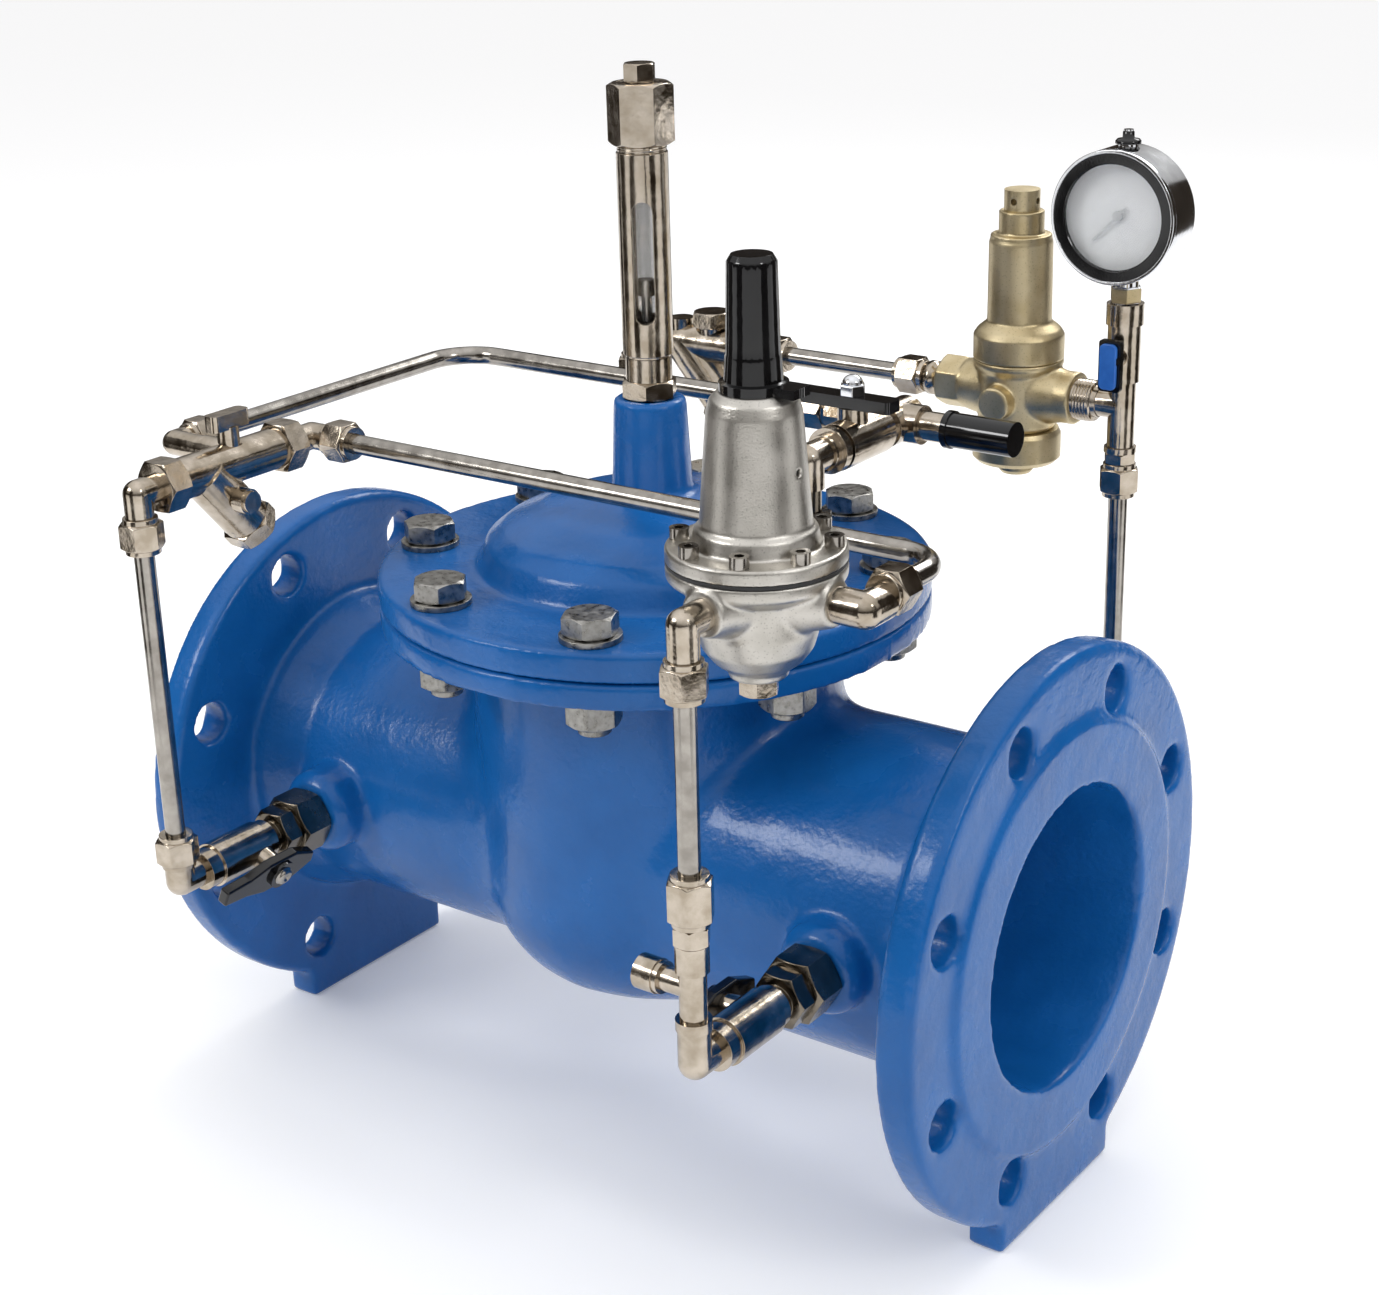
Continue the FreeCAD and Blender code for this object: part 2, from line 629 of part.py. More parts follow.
def make_pilot_adjusting_screw():
    """Setting screw, lock nut and the plate that presses on the spring."""
    shank = rod(pilot_point(0, 262), Z, 64, 5)
    lock_nut = hexagon(pilot_point(0, PILOT_TOP + 0.1), Z, 5, 13)
    plate = rod(pilot_point(0, 258.1), Z, 4, 12)
    slot = Part.makeBox(12, 1.4, 3, pilot_point(-6, 323.5) - Y * 0.7)
    return fused(shank, lock_nut, plate).cut(slot)


def make_setting_springs():
    """Setting spring of the pilot and of the reducer."""
    return [coil(PILOT, 10, 1.8, 222.1, 258, 5), coil(REDUCER, 10, 1.6, REDUCER_JOINT, 266, 5)]


def make_pilot_plug():
    """Moving plug: head in the chamber, spindle through the diaphragm, spring plate on top."""
    head = rod(pilot_point(0, 180), Z, 6, 7)
    spindle = rod(pilot_point(0, 178), Z, 218 - 178, 3)
    plate = rod(pilot_point(0, PILOT_BONNET_FOOT + 0.05), Z, 3.5, 17)
    return fused(head, spindle, plate)


def make_pilot_bottom_plug():
    plug = rod(pilot_point(0, PILOT_BOTTOM), Z, 9, PILOT_PLUG_R)
    return fused(plug, hexagon(pilot_point(0, PILOT_BOTTOM - 8), Z, 8, 16))


# ---- direct-acting reducer -----------------------------------------------------------------
def reducer_point(radius, z, axis=X):
    return REDUCER + axis * radius + Z * z


def make_reducer_body():
    barrel = turned(REDUCER, [
        (0, REDUCER_CAP_TOP), (19, REDUCER_CAP_TOP), (21, 188), (21, 216), (24, 220),
        (24, REDUCER_JOINT), (0, REDUCER_JOINT),
    ])
    left = fused(
        taper(reducer_point(12, PORT_Z, -X), -X, 18, 17, 13.5),
        hexagon(reducer_point(30, PORT_Z, -X), -X, 15, 25, turn=30),
    )
    right = fused(
        taper(reducer_point(12, PORT_Z, X), X, 16, 17, 13.8),
        rod(reducer_point(28, PORT_Z, X), X, 8, 13.8),
    )
    front = rod(reducer_point(14, PORT_Z - 2, -Y), -Y, 14, 9)
    body = fused(barrel, left, right, front)
    tools = [rod(reducer_point(-60, PORT_Z), X, 120, 5.5), rod(reducer_point(0, 180), Z, 50, 12)]
    return body.cut(tools)


def make_reducer_bottom_cap():
    outside = turned(REDUCER, [
        (0, 160), (8, 160), (9.5, 162), (9.5, 167), (21, 167), (23.5, 169.5), (23.5, 182),
        (22, REDUCER_CAP_TOP), (0, REDUCER_CAP_TOP),
    ])
    return outside.cut(rod(reducer_point(0, 175), Z, 20, 12))


def make_reducer_bonnet():
    outside = turned(REDUCER, [
        (0, REDUCER_JOINT), (24, REDUCER_JOINT), (24, 236), (22, 239), (17, 243), (16.7, 285), (16, 287),
        (16, REDUCER_TOP), (0, REDUCER_TOP),
    ])
    collar = rod(reducer_point(0, REDUCER_TOP), Z, 12, 11.8)
    outside = fused(outside, collar)
    tools = [rod(reducer_point(0, REDUCER_JOINT), Z, 58, 13), rod(reducer_point(0, 280), Z, 25, 6 + RUNNING_GAP)]
    notch = Part.makeBox(4, 3, 14, reducer_point(22.5, 223.5, -Y) - X * 2)
    return outside.cut(tools + [notch])


def make_reducer_spindle():
    head = rod(reducer_point(0, 301.05), Z, 11, 9.3)
    shank = rod(reducer_point(0, 268), Z, 33.05, 6)
    cross_hole = rod(reducer_point(-12, 306.5), X, 24, 1.8)
    second_hole = rod(reducer_point(12, 306.5, -Y), Y, 24, 1.8)
    return fused(head, shank).cut([cross_hole, second_hole])


# ---- control piping ------------------------------------------------------------------------
def make_boss_adapters():
    adapters = [boss_adapter(x, side) for x, side in tapping_places()]
    port = at(GROUP_X, COVER_PORT_Y, 0)
    stub = fused(
        rod(port + Z * (COVER_PORT_TOP - 10), Z, 10, 8),
        hexagon(port + Z * COVER_PORT_TOP, Z, 14, 22),
        rod(port + Z * (COVER_PORT_TOP + 14), Z, 12, 6.5),
    )
    adapters.append(stub.cut(rod(port + Z * 150, Z, 60, TUBE_BORE_R)))
    return adapters


def make_riser_tubes():
    """The straight lengths: four risers beside the valve and the reducer's feed."""
    def riser(x, y, low, high):
        return ring(at(x, y, low), Z, high - low, TUBE_R, TUBE_BORE_R)

    return [
        riser(INLET_X, -SIDE_Y, RISER_NUT_LOW, RISER_NUT_HIGH),
        riser(OUTLET_X, -SIDE_Y, OUTLET_TEE_TOP, OUTLET_NUT_HIGH),
        riser(REAR_INLET_X, SIDE_Y, RISER_NUT_LOW, RISER_NUT_HIGH),
        riser(REAR_OUTLET_X, SIDE_Y, RISER_NUT_LOW, REAR_TEE_LOW),
        ring(at(REAR_STRAINER_END, SIDE_Y, PORT_Z), X, FEED_END_X - REAR_STRAINER_END, TUBE_R, TUBE_BORE_R),
    ]


def make_supply_tube():
    return bent_tube([
        at(SUPPLY_START_X, SUPPLY_Y, PORT_Z),
        at(SUPPLY_END_X, SUPPLY_Y, PORT_Z),
        at(SUPPLY_END_X, SUPPLY_NUT_Y, PORT_Z),
    ], 20)


def make_control_tube():
    return bent_tube([
        at(CONTROL_X, CONTROL_START_Y, CONTROL_Z),
        at(CONTROL_X, CONTROL_Y, CONTROL_Z),
        at(CONTROL_END_X, CONTROL_Y, CONTROL_Z),
    ], 26)


def make_elbow_fittings():
    arm = SIDE_Y - PIPE_VALVE_END_Y
    strainer_arm = SIDE_Y + STRAINER_FRONT_Y
    rear_reach = SIDE_Y - ADAPTER_END_Y
    inlet = at(INLET_X, -SIDE_Y, 0)
    outlet = at(OUTLET_X, -SIDE_Y, 0)
    return [
        elbow(inlet, Y, arm, Z, RISER_NUT_LOW, 7.5),
        elbow(outlet, Y, arm, Z, 17, 7.5),
        elbow(inlet + Z * PORT_Z, Y, strainer_arm, -Z, PORT_Z - RISER_NUT_HIGH),
        elbow(outlet + Z * (PORT_Z - 3), Y, SIDE_Y - PILOT_REACH + PILOT.y, -Z,
              PORT_Z - 3 - OUTLET_NUT_HIGH),
        elbow(at(SUPPLY_END_X, PILOT.y, PORT_Z - 3), -X, SUPPLY_END_X - PILOT.x - PILOT_REACH, Y,
              SUPPLY_NUT_Y - PILOT.y, 8),
        elbow(at(INLET_X, SUPPLY_Y, PORT_Z), -Y, SUPPLY_Y - STRAINER_BACK_Y, X, SUPPLY_START_X - INLET_X),
        elbow(at(CONTROL_X, SIDE_BRANCH_Y, CONTROL_Z), X, 22, Y, CONTROL_START_Y - SIDE_BRANCH_Y, 6.5),
        elbow(at(GROUP_X, COVER_PORT_Y, CONTROL_Z), -Z, CONTROL_Z - COVER_PORT_TOP - 26, Y, 12, 8),
        elbow(at(REAR_INLET_X, SIDE_Y, 0), -Y, rear_reach, Z, RISER_NUT_LOW, 7.5),
        elbow(at(REAR_OUTLET_X, SIDE_Y, 0), -Y, rear_reach, Z, RISER_NUT_LOW, 7.5),
        elbow(at(REAR_INLET_X, SIDE_Y, PORT_Z), X, 12, -Z, PORT_Z - RISER_NUT_HIGH),
    ]


def make_compression_nuts():
    def on_riser(x, y, end, direction):
        return compression_nut(at(x, y, end), direction)

    return [
        on_riser(INLET_X, -SIDE_Y, RISER_NUT_LOW, Z),
        on_riser(INLET_X, -SIDE_Y, RISER_NUT_HIGH, -Z),
        compression_nut(at(OUTLET_X, -SIDE_Y, OUTLET_TEE_TOP), Z, 24),
        on_riser(OUTLET_X, -SIDE_Y, OUTLET_NUT_HIGH, -Z),
        on_riser(REAR_INLET_X, SIDE_Y, RISER_NUT_LOW, Z),
        on_riser(REAR_INLET_X, SIDE_Y, RISER_NUT_HIGH, -Z),
        on_riser(REAR_OUTLET_X, SIDE_Y, RISER_NUT_LOW, Z),
        on_riser(REAR_OUTLET_X, SIDE_Y, REAR_TEE_LOW, -Z),
        compression_nut(at(SUPPLY_START_X, SUPPLY_Y, PORT_Z), X),
        compression_nut(at(SUPPLY_END_X, SUPPLY_NUT_Y, PORT_Z), Y),
        compression_nut(at(CONTROL_X, CONTROL_START_Y, CONTROL_Z), Y, 17, 17),
        compression_nut(at(CONTROL_END_X, CONTROL_Y, CONTROL_Z), -X),
        compression_nut(at(REAR_STRAINER_END, SIDE_Y, PORT_Z), X),
        compression_nut(at(FEED_END_X, SIDE_Y, PORT_Z), -X),
    ]


def make_tee_fittings():
    """Outlet riser tee with its capped branch, the gauge tee and the control group's tee."""
    x, y = OUTLET_X, -SIDE_Y
    branch = at(x, y, BRANCH_Z)
    outlet = fused(
        hexagon(at(x, y, 58), Z, 9, 15), rod(at(x, y, 45), Z, 13, 7.6), rod(at(x, y, 22), Z, 23, 6.2),
        rod(at(x, y, 17), Z, 5, 8.2), rod(branch, -X, 15, 5.6), rod(branch - X * 15, -X, 2.5, 7.4),
        rod(branch - X * 17.5, -X, 10, 8),
    ).cut([rod(at(x, y, 10), Z, 60, TUBE_BORE_R), rod(branch, -X, 15, TUBE_BORE_R)])
    x, y = REAR_OUTLET_X, SIDE_Y
    reach = REAR_OUTLET_X - REDUCER.x - 36
    gauge = fused(
        hexagon(at(x, y, REAR_TEE_LOW), Z, 6, 15), rod(at(x, y, 180), Z, 3, 8.4), rod(at(x, y, 183), Z, 35, 7),
        rod(at(x, y, PORT_Z), -X, 12, 7.5), taper(at(x - reach, y, PORT_Z), X, reach - 12, 11, 8),
    ).cut([rod(at(x, y, 170), Z, 60, TUBE_BORE_R), rod(at(x, y, PORT_Z), -X, 40, TUBE_BORE_R)])
    control = fused(
        rod(at(GROUP_X, GROUP_TEE_Y, CONTROL_Z), Y, 24, 11), rod(at(GROUP_X, CONTROL_Y, CONTROL_Z), -X, 26, 8.5),
        hexagon(at(GROUP_X - 26, CONTROL_Y, CONTROL_Z), -X, GROUP_X - 26 - CONTROL_END_X, 19),
        rod(at(GROUP_X, CONTROL_Y, CONTROL_Z), X, 16, 10),
    ).cut([
        rod(at(GROUP_X, GROUP_TEE_Y, CONTROL_Z), Y, 20, TUBE_BORE_R),
        rod(at(CONTROL_END_X, CONTROL_Y, CONTROL_Z), X, 54, TUBE_BORE_R),
    ])
    return [outlet, gauge, control]


# ---- isolating valves ----------------------------------------------------------------------
def valve_cavity(centre, flow, stem_axis, bore):
    """Room inside a valve body for its ball and stem, and the bore through it."""
    return [
        Part.makeSphere(VALVE_BALL_R + RUNNING_GAP, centre, flow),
        rod(centre, stem_axis, 40, VALVE_STEM_R + RUNNING_GAP),
        rod(centre - flow * 40, flow, 80, bore),
    ]


def valve_ball(centre, flow, stem_axis, stem_length, bore=TUBE_BORE_R):
    """Drilled ball with its stem in one piece."""
    solid = fused(ball(centre, VALVE_BALL_R), rod(centre, stem_axis, stem_length, VALVE_STEM_R))
    return solid.cut(rod(centre - flow * 10, flow, 20, bore))


def make_isolating_valve_bodies():
    bodies = []
    length = PIPE_VALVE_END_Y - ADAPTER_END_Y
    for centre, key in ((INLET_BALL, INLET_KEY), (OUTLET_BALL, OUTLET_KEY)):
        start = at(centre.x, -ADAPTER_END_Y, 0)
        body = fused(
            rod(start, -Y, length, 10.5), rod(start - Y * 6, -Y, length - 14, 11.7),
            rod(centre, key, 17.5, 6.5),
        )
        bodies.append(body.cut(valve_cavity(centre, Y, key, TUBE_BORE_R)))
    return bodies


def wing_handle(centre, key, long_arm, short_arm, width, reach):
    """Moulded wing key with a hub round the stem, a long arm along -Y and a short one along +Y."""
    across = Vec(key).cross(Y)
    base = centre + key * reach
    side_points = [
        (short_arm, 0.16), (short_arm * 0.4, 0.5), (-long_arm * 0.25, 0.5),
        (-long_arm * 0.6, 0.3), (-long_arm, 0.24),
    ]
    outline = [base + Y * along + across * (width * half) for along, half in side_points]
    outline += [base + Y * along - across * (width * half) for along, half in reversed(side_points)]
    plate = Part.Face(Part.makePolygon(outline + outline[:1])).extrude(key * 6)
    plate = plate.makeFillet(1.2, plate.Edges)
    hub = rod(base, key, 8, width * 0.42)
    return fused(plate, hub).cut(rod(base, key, 5, VALVE_STEM_R))


def make_gauge_valve_body():
    x, y = REAR_OUTLET_X, SIDE_Y
    low = at(x, y, GAUGE_VALVE_LOW)
    body = fused(rod(low, Z, 30, 8.5), rod(GAUGE_BALL, -Y, 13, 5.5), rod(low + Z * 30, Z, 11, 9.6))
    return body.cut(valve_cavity(GAUGE_BALL, Z, -Y, TUBE_BORE_R))


def make_gauge_valve_lever():
    y = SIDE_Y - 13 - LEVER_GAP
    plate = Part.makeBox(12.5, 3, 27, at(REAR_OUTLET_X - 6.25, y - 3, 215.5))
    plate = plate.makeFillet(2, [edge for edge in plate.Edges if abs(edge.Length - 3) < 0.1])
    hub = rod(at(REAR_OUTLET_X, y, GAUGE_BALL.z), -Y, 5, 5)
    return fused(plate, hub).cut(rod(GAUGE_BALL, -Y, 18, VALVE_STEM_R))


def make_control_valve_body():
    start = at(GROUP_X, COVER_PORT_Y + 12, CONTROL_Z)
    end = GROUP_TEE_Y - COVER_PORT_Y - 12
    body = fused(
        rod(start, Y, end, 9), rod(start + Y * 5, Y, 5, 11.5), rod(start + Y * 12, Y, end - 18, 11.8),
        rod(CONTROL_BALL, Z, 17, 7.5),
    )
    return body.cut(valve_cavity(CONTROL_BALL, Y, Z, TUBE_BORE_R))


def make_control_valve_lever():
    z = CONTROL_Z + 17 + LEVER_GAP
    length = 66
    plate = Part.makeBox(length, 12, 6, at(GROUP_X - 42, CONTROL_BALL.y - 6, z))
    plate = plate.makeFillet(2, [edge for edge in plate.Edges if abs(edge.Length - 6) < 0.1])
    nut = hexagon(at(GROUP_X, CONTROL_BALL.y, z + 6), Z, 5, 11)
    return fused(plate, nut).cut(rod(CONTROL_BALL, Z, 22, VALVE_STEM_R))


def make_needle_valve_body():
    start = at(GROUP_X + 16, CONTROL_Y, CONTROL_Z)
    return rod(start, X, 14, 7.5).cut([
        rod(start, X, 3, TUBE_BORE_R), rod(start + X * 3, X, 12, 3 + RUNNING_GAP),
    ])


def make_needle_valve_knob():
    start = at(GROUP_X + 30 + LEVER_GAP, CONTROL_Y, CONTROL_Z)
    spindle = fused(rod(start - X * 25, X, 25, 3), taper(start - X * 31, X, 6, 1, 3))
    knob = fused(rod(start, X, 38, 8.8), rod(start, X, 3, 9.6))
    return fused(knob, spindle)


# ---- strainers -------------------------------------------------------------------------------
def strainer(start, flow, length, leg_root, leg):
    """Y-strainer: hexagon ends, round barrel, sloping screen leg, bored through."""
    outside = fused(
        hexagon(start, flow, 13, 24), rod(start + flow * 13, flow, length - 26, 10.5),
        hexagon(start + flow * (length - 13), flow, 13, 24), rod(leg_root, leg, LEG_LENGTH, LEG_R),
    )
    return outside.cut([
        rod(start, flow, length, TUBE_BORE_R + 1), rod(leg_root + leg * 4, leg, LEG_LENGTH, 8),
    ])


def make_strainer_bodies():
    front = strainer(at(INLET_X, STRAINER_FRONT_Y, PORT_Z), Y, STRAINER_BACK_Y - STRAINER_FRONT_Y,
                     at(INLET_X, LEG_START_Y, PORT_Z), LEG)
    side = at(INLET_X, SIDE_BRANCH_Y, CONTROL_Z)
    key_boss = rod(at(INLET_X, KEY_Y, PORT_Z), Z, 13, 5.5)
    front = fused(front, rod(side, -X, INLET_X - CONTROL_X - 22, 7), key_boss)
    front = front.cut([
        rod(side, -X, 40, TUBE_BORE_R), rod(at(INLET_X, KEY_Y, PORT_Z + 4), Z, 14, 3 + RUNNING_GAP),
    ])
    rear_start = REAR_INLET_X + 12
    rear = strainer(at(rear_start, SIDE_Y, PORT_Z), X, REAR_STRAINER_END - rear_start,
                    at(REAR_LEG_X, SIDE_Y, PORT_Z), REAR_LEG)
    rear_bosses = [rod(at(REAR_PLUG_X, SIDE_Y, PORT_Z), Z, 11, 8), rod(at(REAR_BOSS_X, SIDE_Y, PORT_Z), Z, 14, 7.5)]
    rear = fused(rear, *rear_bosses)
    return [front, rear.cut(rod(at(rear_start, SIDE_Y, PORT_Z), X, 81, TUBE_BORE_R))]


def leg_cap(leg_root, leg):
    """Hexagon cap of a strainer leg, with its spigot."""
    end = leg_root + leg * LEG_LENGTH
    return fused(hexagon(end, leg, 9, 24.5), rod(end - leg * 6, leg, 6, 8), rod(end + leg * 9, leg, 2, 9))


def leg_screen(leg_root, leg):
    """Cylindrical screen that comes out with the cap."""
    return ring(leg_root + leg * 13, leg, LEG_LENGTH - 19, 7, 6.4)


def make_strainer_caps():
    side_root = at(INLET_X, LEG_START_Y, PORT_Z) + LEG * 20
    plug_face = side_root + X * LEG_R
    side_plug = fused(rod(plug_face + X * 0.02, X, 7, 6.5), rod(plug_face + X * 7, X, 2, 5.5))
    rear_plug = hexagon(at(REAR_PLUG_X, SIDE_Y, PORT_Z + 11), Z, 9, 21)
    front = (at(INLET_X, LEG_START_Y, PORT_Z), LEG)
    rear = (at(REAR_LEG_X, SIDE_Y, PORT_Z), REAR_LEG)
    return [leg_cap(*front), leg_cap(*rear), leg_screen(*front), leg_screen(*rear), side_plug, rear_plug]


def make_strainer_key():
    """Wing key of the strainer's shut-off, turning on its short spindle."""
    top = at(INLET_X, KEY_Y, PORT_Z + 13 + LEVER_GAP)
    stem = fused(rod(top - Z * 8, Z, 8, 3), rod(top, Z, 6, 5.5))
    wing = Part.makeBox(9, 24, 8, top + Z * 5 - Y * 12 - X * 4.5)
    wing = wing.makeFillet(3, [edge for edge in wing.Edges if abs(edge.Length - 8) < 0.1])
    return fused(stem, wing)


# ---- pressure gauge -----------------------------------------------------------------------------
def make_gauge_case():
    case = turned_along(GAUGE, Y, [
        (0, 3), (GAUGE_R, 3), (GAUGE_R, GAUGE_DEPTH - 4), (GAUGE_R - 4, GAUGE_DEPTH), (0, GAUGE_DEPTH),
    ])
    case = case.cut(rod(GAUGE + Y * 3, Y, 12, GAUGE_R - 2))
    stem_x = REAR_OUTLET_X
    neck = rod(at(stem_x, SIDE_Y, 268), Z, 4.5, 6.5)
    stem = fused(hexagon(at(stem_x, SIDE_Y, 259), Z, 9, 14), neck)
    top = GAUGE + Y * 16 + Z * GAUGE_R
    vent = fused(rod(top - Z * 2, Z, 5, 5), rod(top, Z, 8, 2.5))
    return fused(case, stem, vent)


def make_gauge_bezel():
    return turned_along(GAUGE, Y, [
        (GAUGE_R - 4.5, 0), (GAUGE_R - 1, 0), (GAUGE_R, 1), (GAUGE_R, 3), (GAUGE_R - 4.5, 3),
    ])


def make_gauge_window():
    return rod(GAUGE + Y * 3, Y, 1.5, GAUGE_R - 2.1)


def make_gauge_dial():
    dial = rod(GAUGE + Y * 9, Y, 6, GAUGE_R - 2.1)
    return dial.cut(rod(GAUGE + Y * 8, Y, 5, 1.05))


def make_gauge_pointer():
    hub = rod(GAUGE + Y * 7, Y, 5, 1)
    boss = rod(GAUGE + Y * 6.5, Y, 1.5, 2.6)
    needle = Part.makeBox(25, 0.8, 1.2, GAUGE + at(-6, 6.9, -0.6))
    needle.rotate(GAUGE, Y, 135)
    return fused(hub, boss, needle)


# ---- output -----------------------------------------------------------------------------------
def save(name, shape):
    """Writes one node; a list of solids becomes one compound."""
    solids = shape if isinstance(shape, list) else [shape]
    shifted = []
    for solid in solids:
        copy = solid.copy()
        copy.translate(X * (FACE_TO_FACE / 2))
        shifted.append(copy)
    whole = shifted[0] if len(shifted) == 1 else Part.makeCompound(shifted)
    if not whole.isValid():
        print("NOT VALID", name)
    print(f"{name}: {len(whole.Solids)} solids, {whole.Volume:.0f} mm3")
    whole.exportStep(f"parts/{name}.step")


os.makedirs("parts", exist_ok=True)
NODES = {
    "main_body": make_main_body,
    "cover": make_cover,
    "cover_bolts": make_cover_bolts,
    "cover_washers": make_cover_washers,
    "cover_nuts": make_cover_nuts,
    "seat_ring": make_seat_ring,
    "stem": make_stem,
    "valve_disc": make_valve_disc,
    "disc_seal": make_disc_seal,
    "diaphragm": make_diaphragm,
    "diaphragm_plates": make_diaphragm_plates,
    "stem_nut": make_stem_nut,
    "main_spring": make_main_spring,
    "indicator_rod": make_indicator_rod,
    "sight_base_nut": make_sight_base_nut,
    "sight_housing": make_sight_housing,
    "sight_glass": make_sight_glass,
    "sight_cap_nut": make_sight_cap_nut,
    "sight_vent_plug": make_sight_vent_plug,
    "pilot_body": make_pilot_body,
    "pilot_bonnet": make_pilot_bonnet,
    "pilot_diaphragm": make_pilot_diaphragm,
    "pilot_screws": make_pilot_screws,
    "pilot_cap": make_pilot_cap,
    "pilot_adjusting_screw": make_pilot_adjusting_screw,
    "pilot_plug": make_pilot_plug,
    "setting_springs": make_setting_springs,
    "pilot_bottom_plug": make_pilot_bottom_plug,
    "reducer_body": make_reducer_body,
    "reducer_bonnet": make_reducer_bonnet,
    "reducer_spindle": make_reducer_spindle,
    "reducer_bottom_cap": make_reducer_bottom_cap,
    "boss_adapters": make_boss_adapters,
    "riser_tubes": make_riser_tubes,
    "supply_tube": make_supply_tube,
    "control_tube": make_control_tube,
    "elbow_fittings": make_elbow_fittings,
    "compression_nuts": make_compression_nuts,
    "tee_fittings": make_tee_fittings,
    "isolating_valve_bodies": make_isolating_valve_bodies,
    "inlet_valve_handle": lambda: wing_handle(INLET_BALL, INLET_KEY, 38, 24, 19, 17.6),
    "inlet_valve_ball": lambda: valve_ball(INLET_BALL, Y, INLET_KEY, 22.6),
    "outlet_valve_handle": lambda: wing_handle(OUTLET_BALL, OUTLET_KEY, 26, 24, 18, 17.6),
    "outlet_valve_ball": lambda: valve_ball(OUTLET_BALL, Y, OUTLET_KEY, 22.6),
    "gauge_valve_body": make_gauge_valve_body,
    "gauge_valve_lever": make_gauge_valve_lever,
    "gauge_valve_ball": lambda: valve_ball(GAUGE_BALL, Z, -Y, 18, 3),
    "control_valve_body": make_control_valve_body,
    "control_valve_lever": make_control_valve_lever,
    "control_valve_ball": lambda: valve_ball(CONTROL_BALL, Y, Z, 22),
    "needle_valve_body": make_needle_valve_body,
    "needle_valve_knob": make_needle_valve_knob,
    "strainer_bodies": make_strainer_bodies,
    "strainer_caps": make_strainer_caps,
    "strainer_key": make_strainer_key,
    "gauge_case": make_gauge_case,
    "gauge_bezel": make_gauge_bezel,
    "gauge_window": make_gauge_window,
    "gauge_dial": make_gauge_dial,
    "gauge_pointer": make_gauge_pointer,
}
for node_name, maker in NODES.items():
    save(node_name, maker())
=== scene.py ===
"""Looks of a pilot-operated pressure reducing valve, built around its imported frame.

Each sub-assembly is a class: its sizes are dataclass fields, build() makes its meshes and dress() gives its
frame nodes their finishes.  Sizes are in metres, in the frame of the part: the stem axis is vertical and the
pipe axis runs along X.
"""
import json
import logging
import math
from dataclasses import dataclass, field
from enum import Enum
from typing import Callable, Sequence

import bmesh
import bpy
import numpy as np
from mathutils import Matrix, Vector

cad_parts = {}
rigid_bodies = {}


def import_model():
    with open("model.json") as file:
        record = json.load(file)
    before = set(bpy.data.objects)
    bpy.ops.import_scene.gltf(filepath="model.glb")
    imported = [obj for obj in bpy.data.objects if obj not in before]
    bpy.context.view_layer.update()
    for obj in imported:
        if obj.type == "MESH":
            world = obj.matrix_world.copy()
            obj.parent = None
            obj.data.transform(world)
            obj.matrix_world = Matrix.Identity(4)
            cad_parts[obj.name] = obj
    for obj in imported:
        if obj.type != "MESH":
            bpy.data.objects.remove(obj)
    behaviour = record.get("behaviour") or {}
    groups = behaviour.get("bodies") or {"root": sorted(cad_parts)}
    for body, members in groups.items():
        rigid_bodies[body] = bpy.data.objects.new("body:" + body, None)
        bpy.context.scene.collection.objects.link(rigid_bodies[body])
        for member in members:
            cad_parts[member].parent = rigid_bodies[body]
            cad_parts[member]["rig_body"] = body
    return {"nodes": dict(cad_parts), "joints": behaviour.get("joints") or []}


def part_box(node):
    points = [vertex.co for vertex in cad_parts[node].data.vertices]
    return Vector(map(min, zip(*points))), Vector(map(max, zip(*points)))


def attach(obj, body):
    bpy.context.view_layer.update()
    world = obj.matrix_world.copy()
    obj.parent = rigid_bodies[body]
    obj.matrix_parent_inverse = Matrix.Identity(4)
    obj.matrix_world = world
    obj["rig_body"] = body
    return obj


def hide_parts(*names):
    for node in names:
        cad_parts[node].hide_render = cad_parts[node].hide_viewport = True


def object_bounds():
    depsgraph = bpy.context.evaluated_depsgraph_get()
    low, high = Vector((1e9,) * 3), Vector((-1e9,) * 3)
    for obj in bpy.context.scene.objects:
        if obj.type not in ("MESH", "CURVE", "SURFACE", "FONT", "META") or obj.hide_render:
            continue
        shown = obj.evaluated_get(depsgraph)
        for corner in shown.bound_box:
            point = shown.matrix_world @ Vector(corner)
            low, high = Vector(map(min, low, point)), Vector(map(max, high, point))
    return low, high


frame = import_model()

CAD_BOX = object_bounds()
LOG = logging.getLogger("reducing_valve")
Colour = tuple[float, float, float]
Point = tuple[float, float, float]
X_AXIS = Vector((1, 0, 0))
Y_AXIS = Vector((0, 1, 0))
Z_AXIS = Vector((0, 0, 1))
MM = 0.001
WELD_REACH = 0.002 * MM


class Slot(Enum):
    """Finish slots named by the record."""

    EPOXY = "blue_epoxy"
    CAST_STAINLESS = "cast_stainless"
    STAINLESS = "stainless"
    NICKEL = "nickel_plate"
    DARK_NICKEL = "dark_nickel"
    BRASS = "brass"
    ZINC = "zinc_steel"
    BLACK = "black_plastic"
    BLUE_GRIP = "blue_grip"
    RUBBER = "rubber"
    GLASS = "clear_glass"
    DIAL = "dial_white"
    POINTER = "pointer_grey"
    CHROME = "gauge_chrome"
    SPRING = "spring_steel"


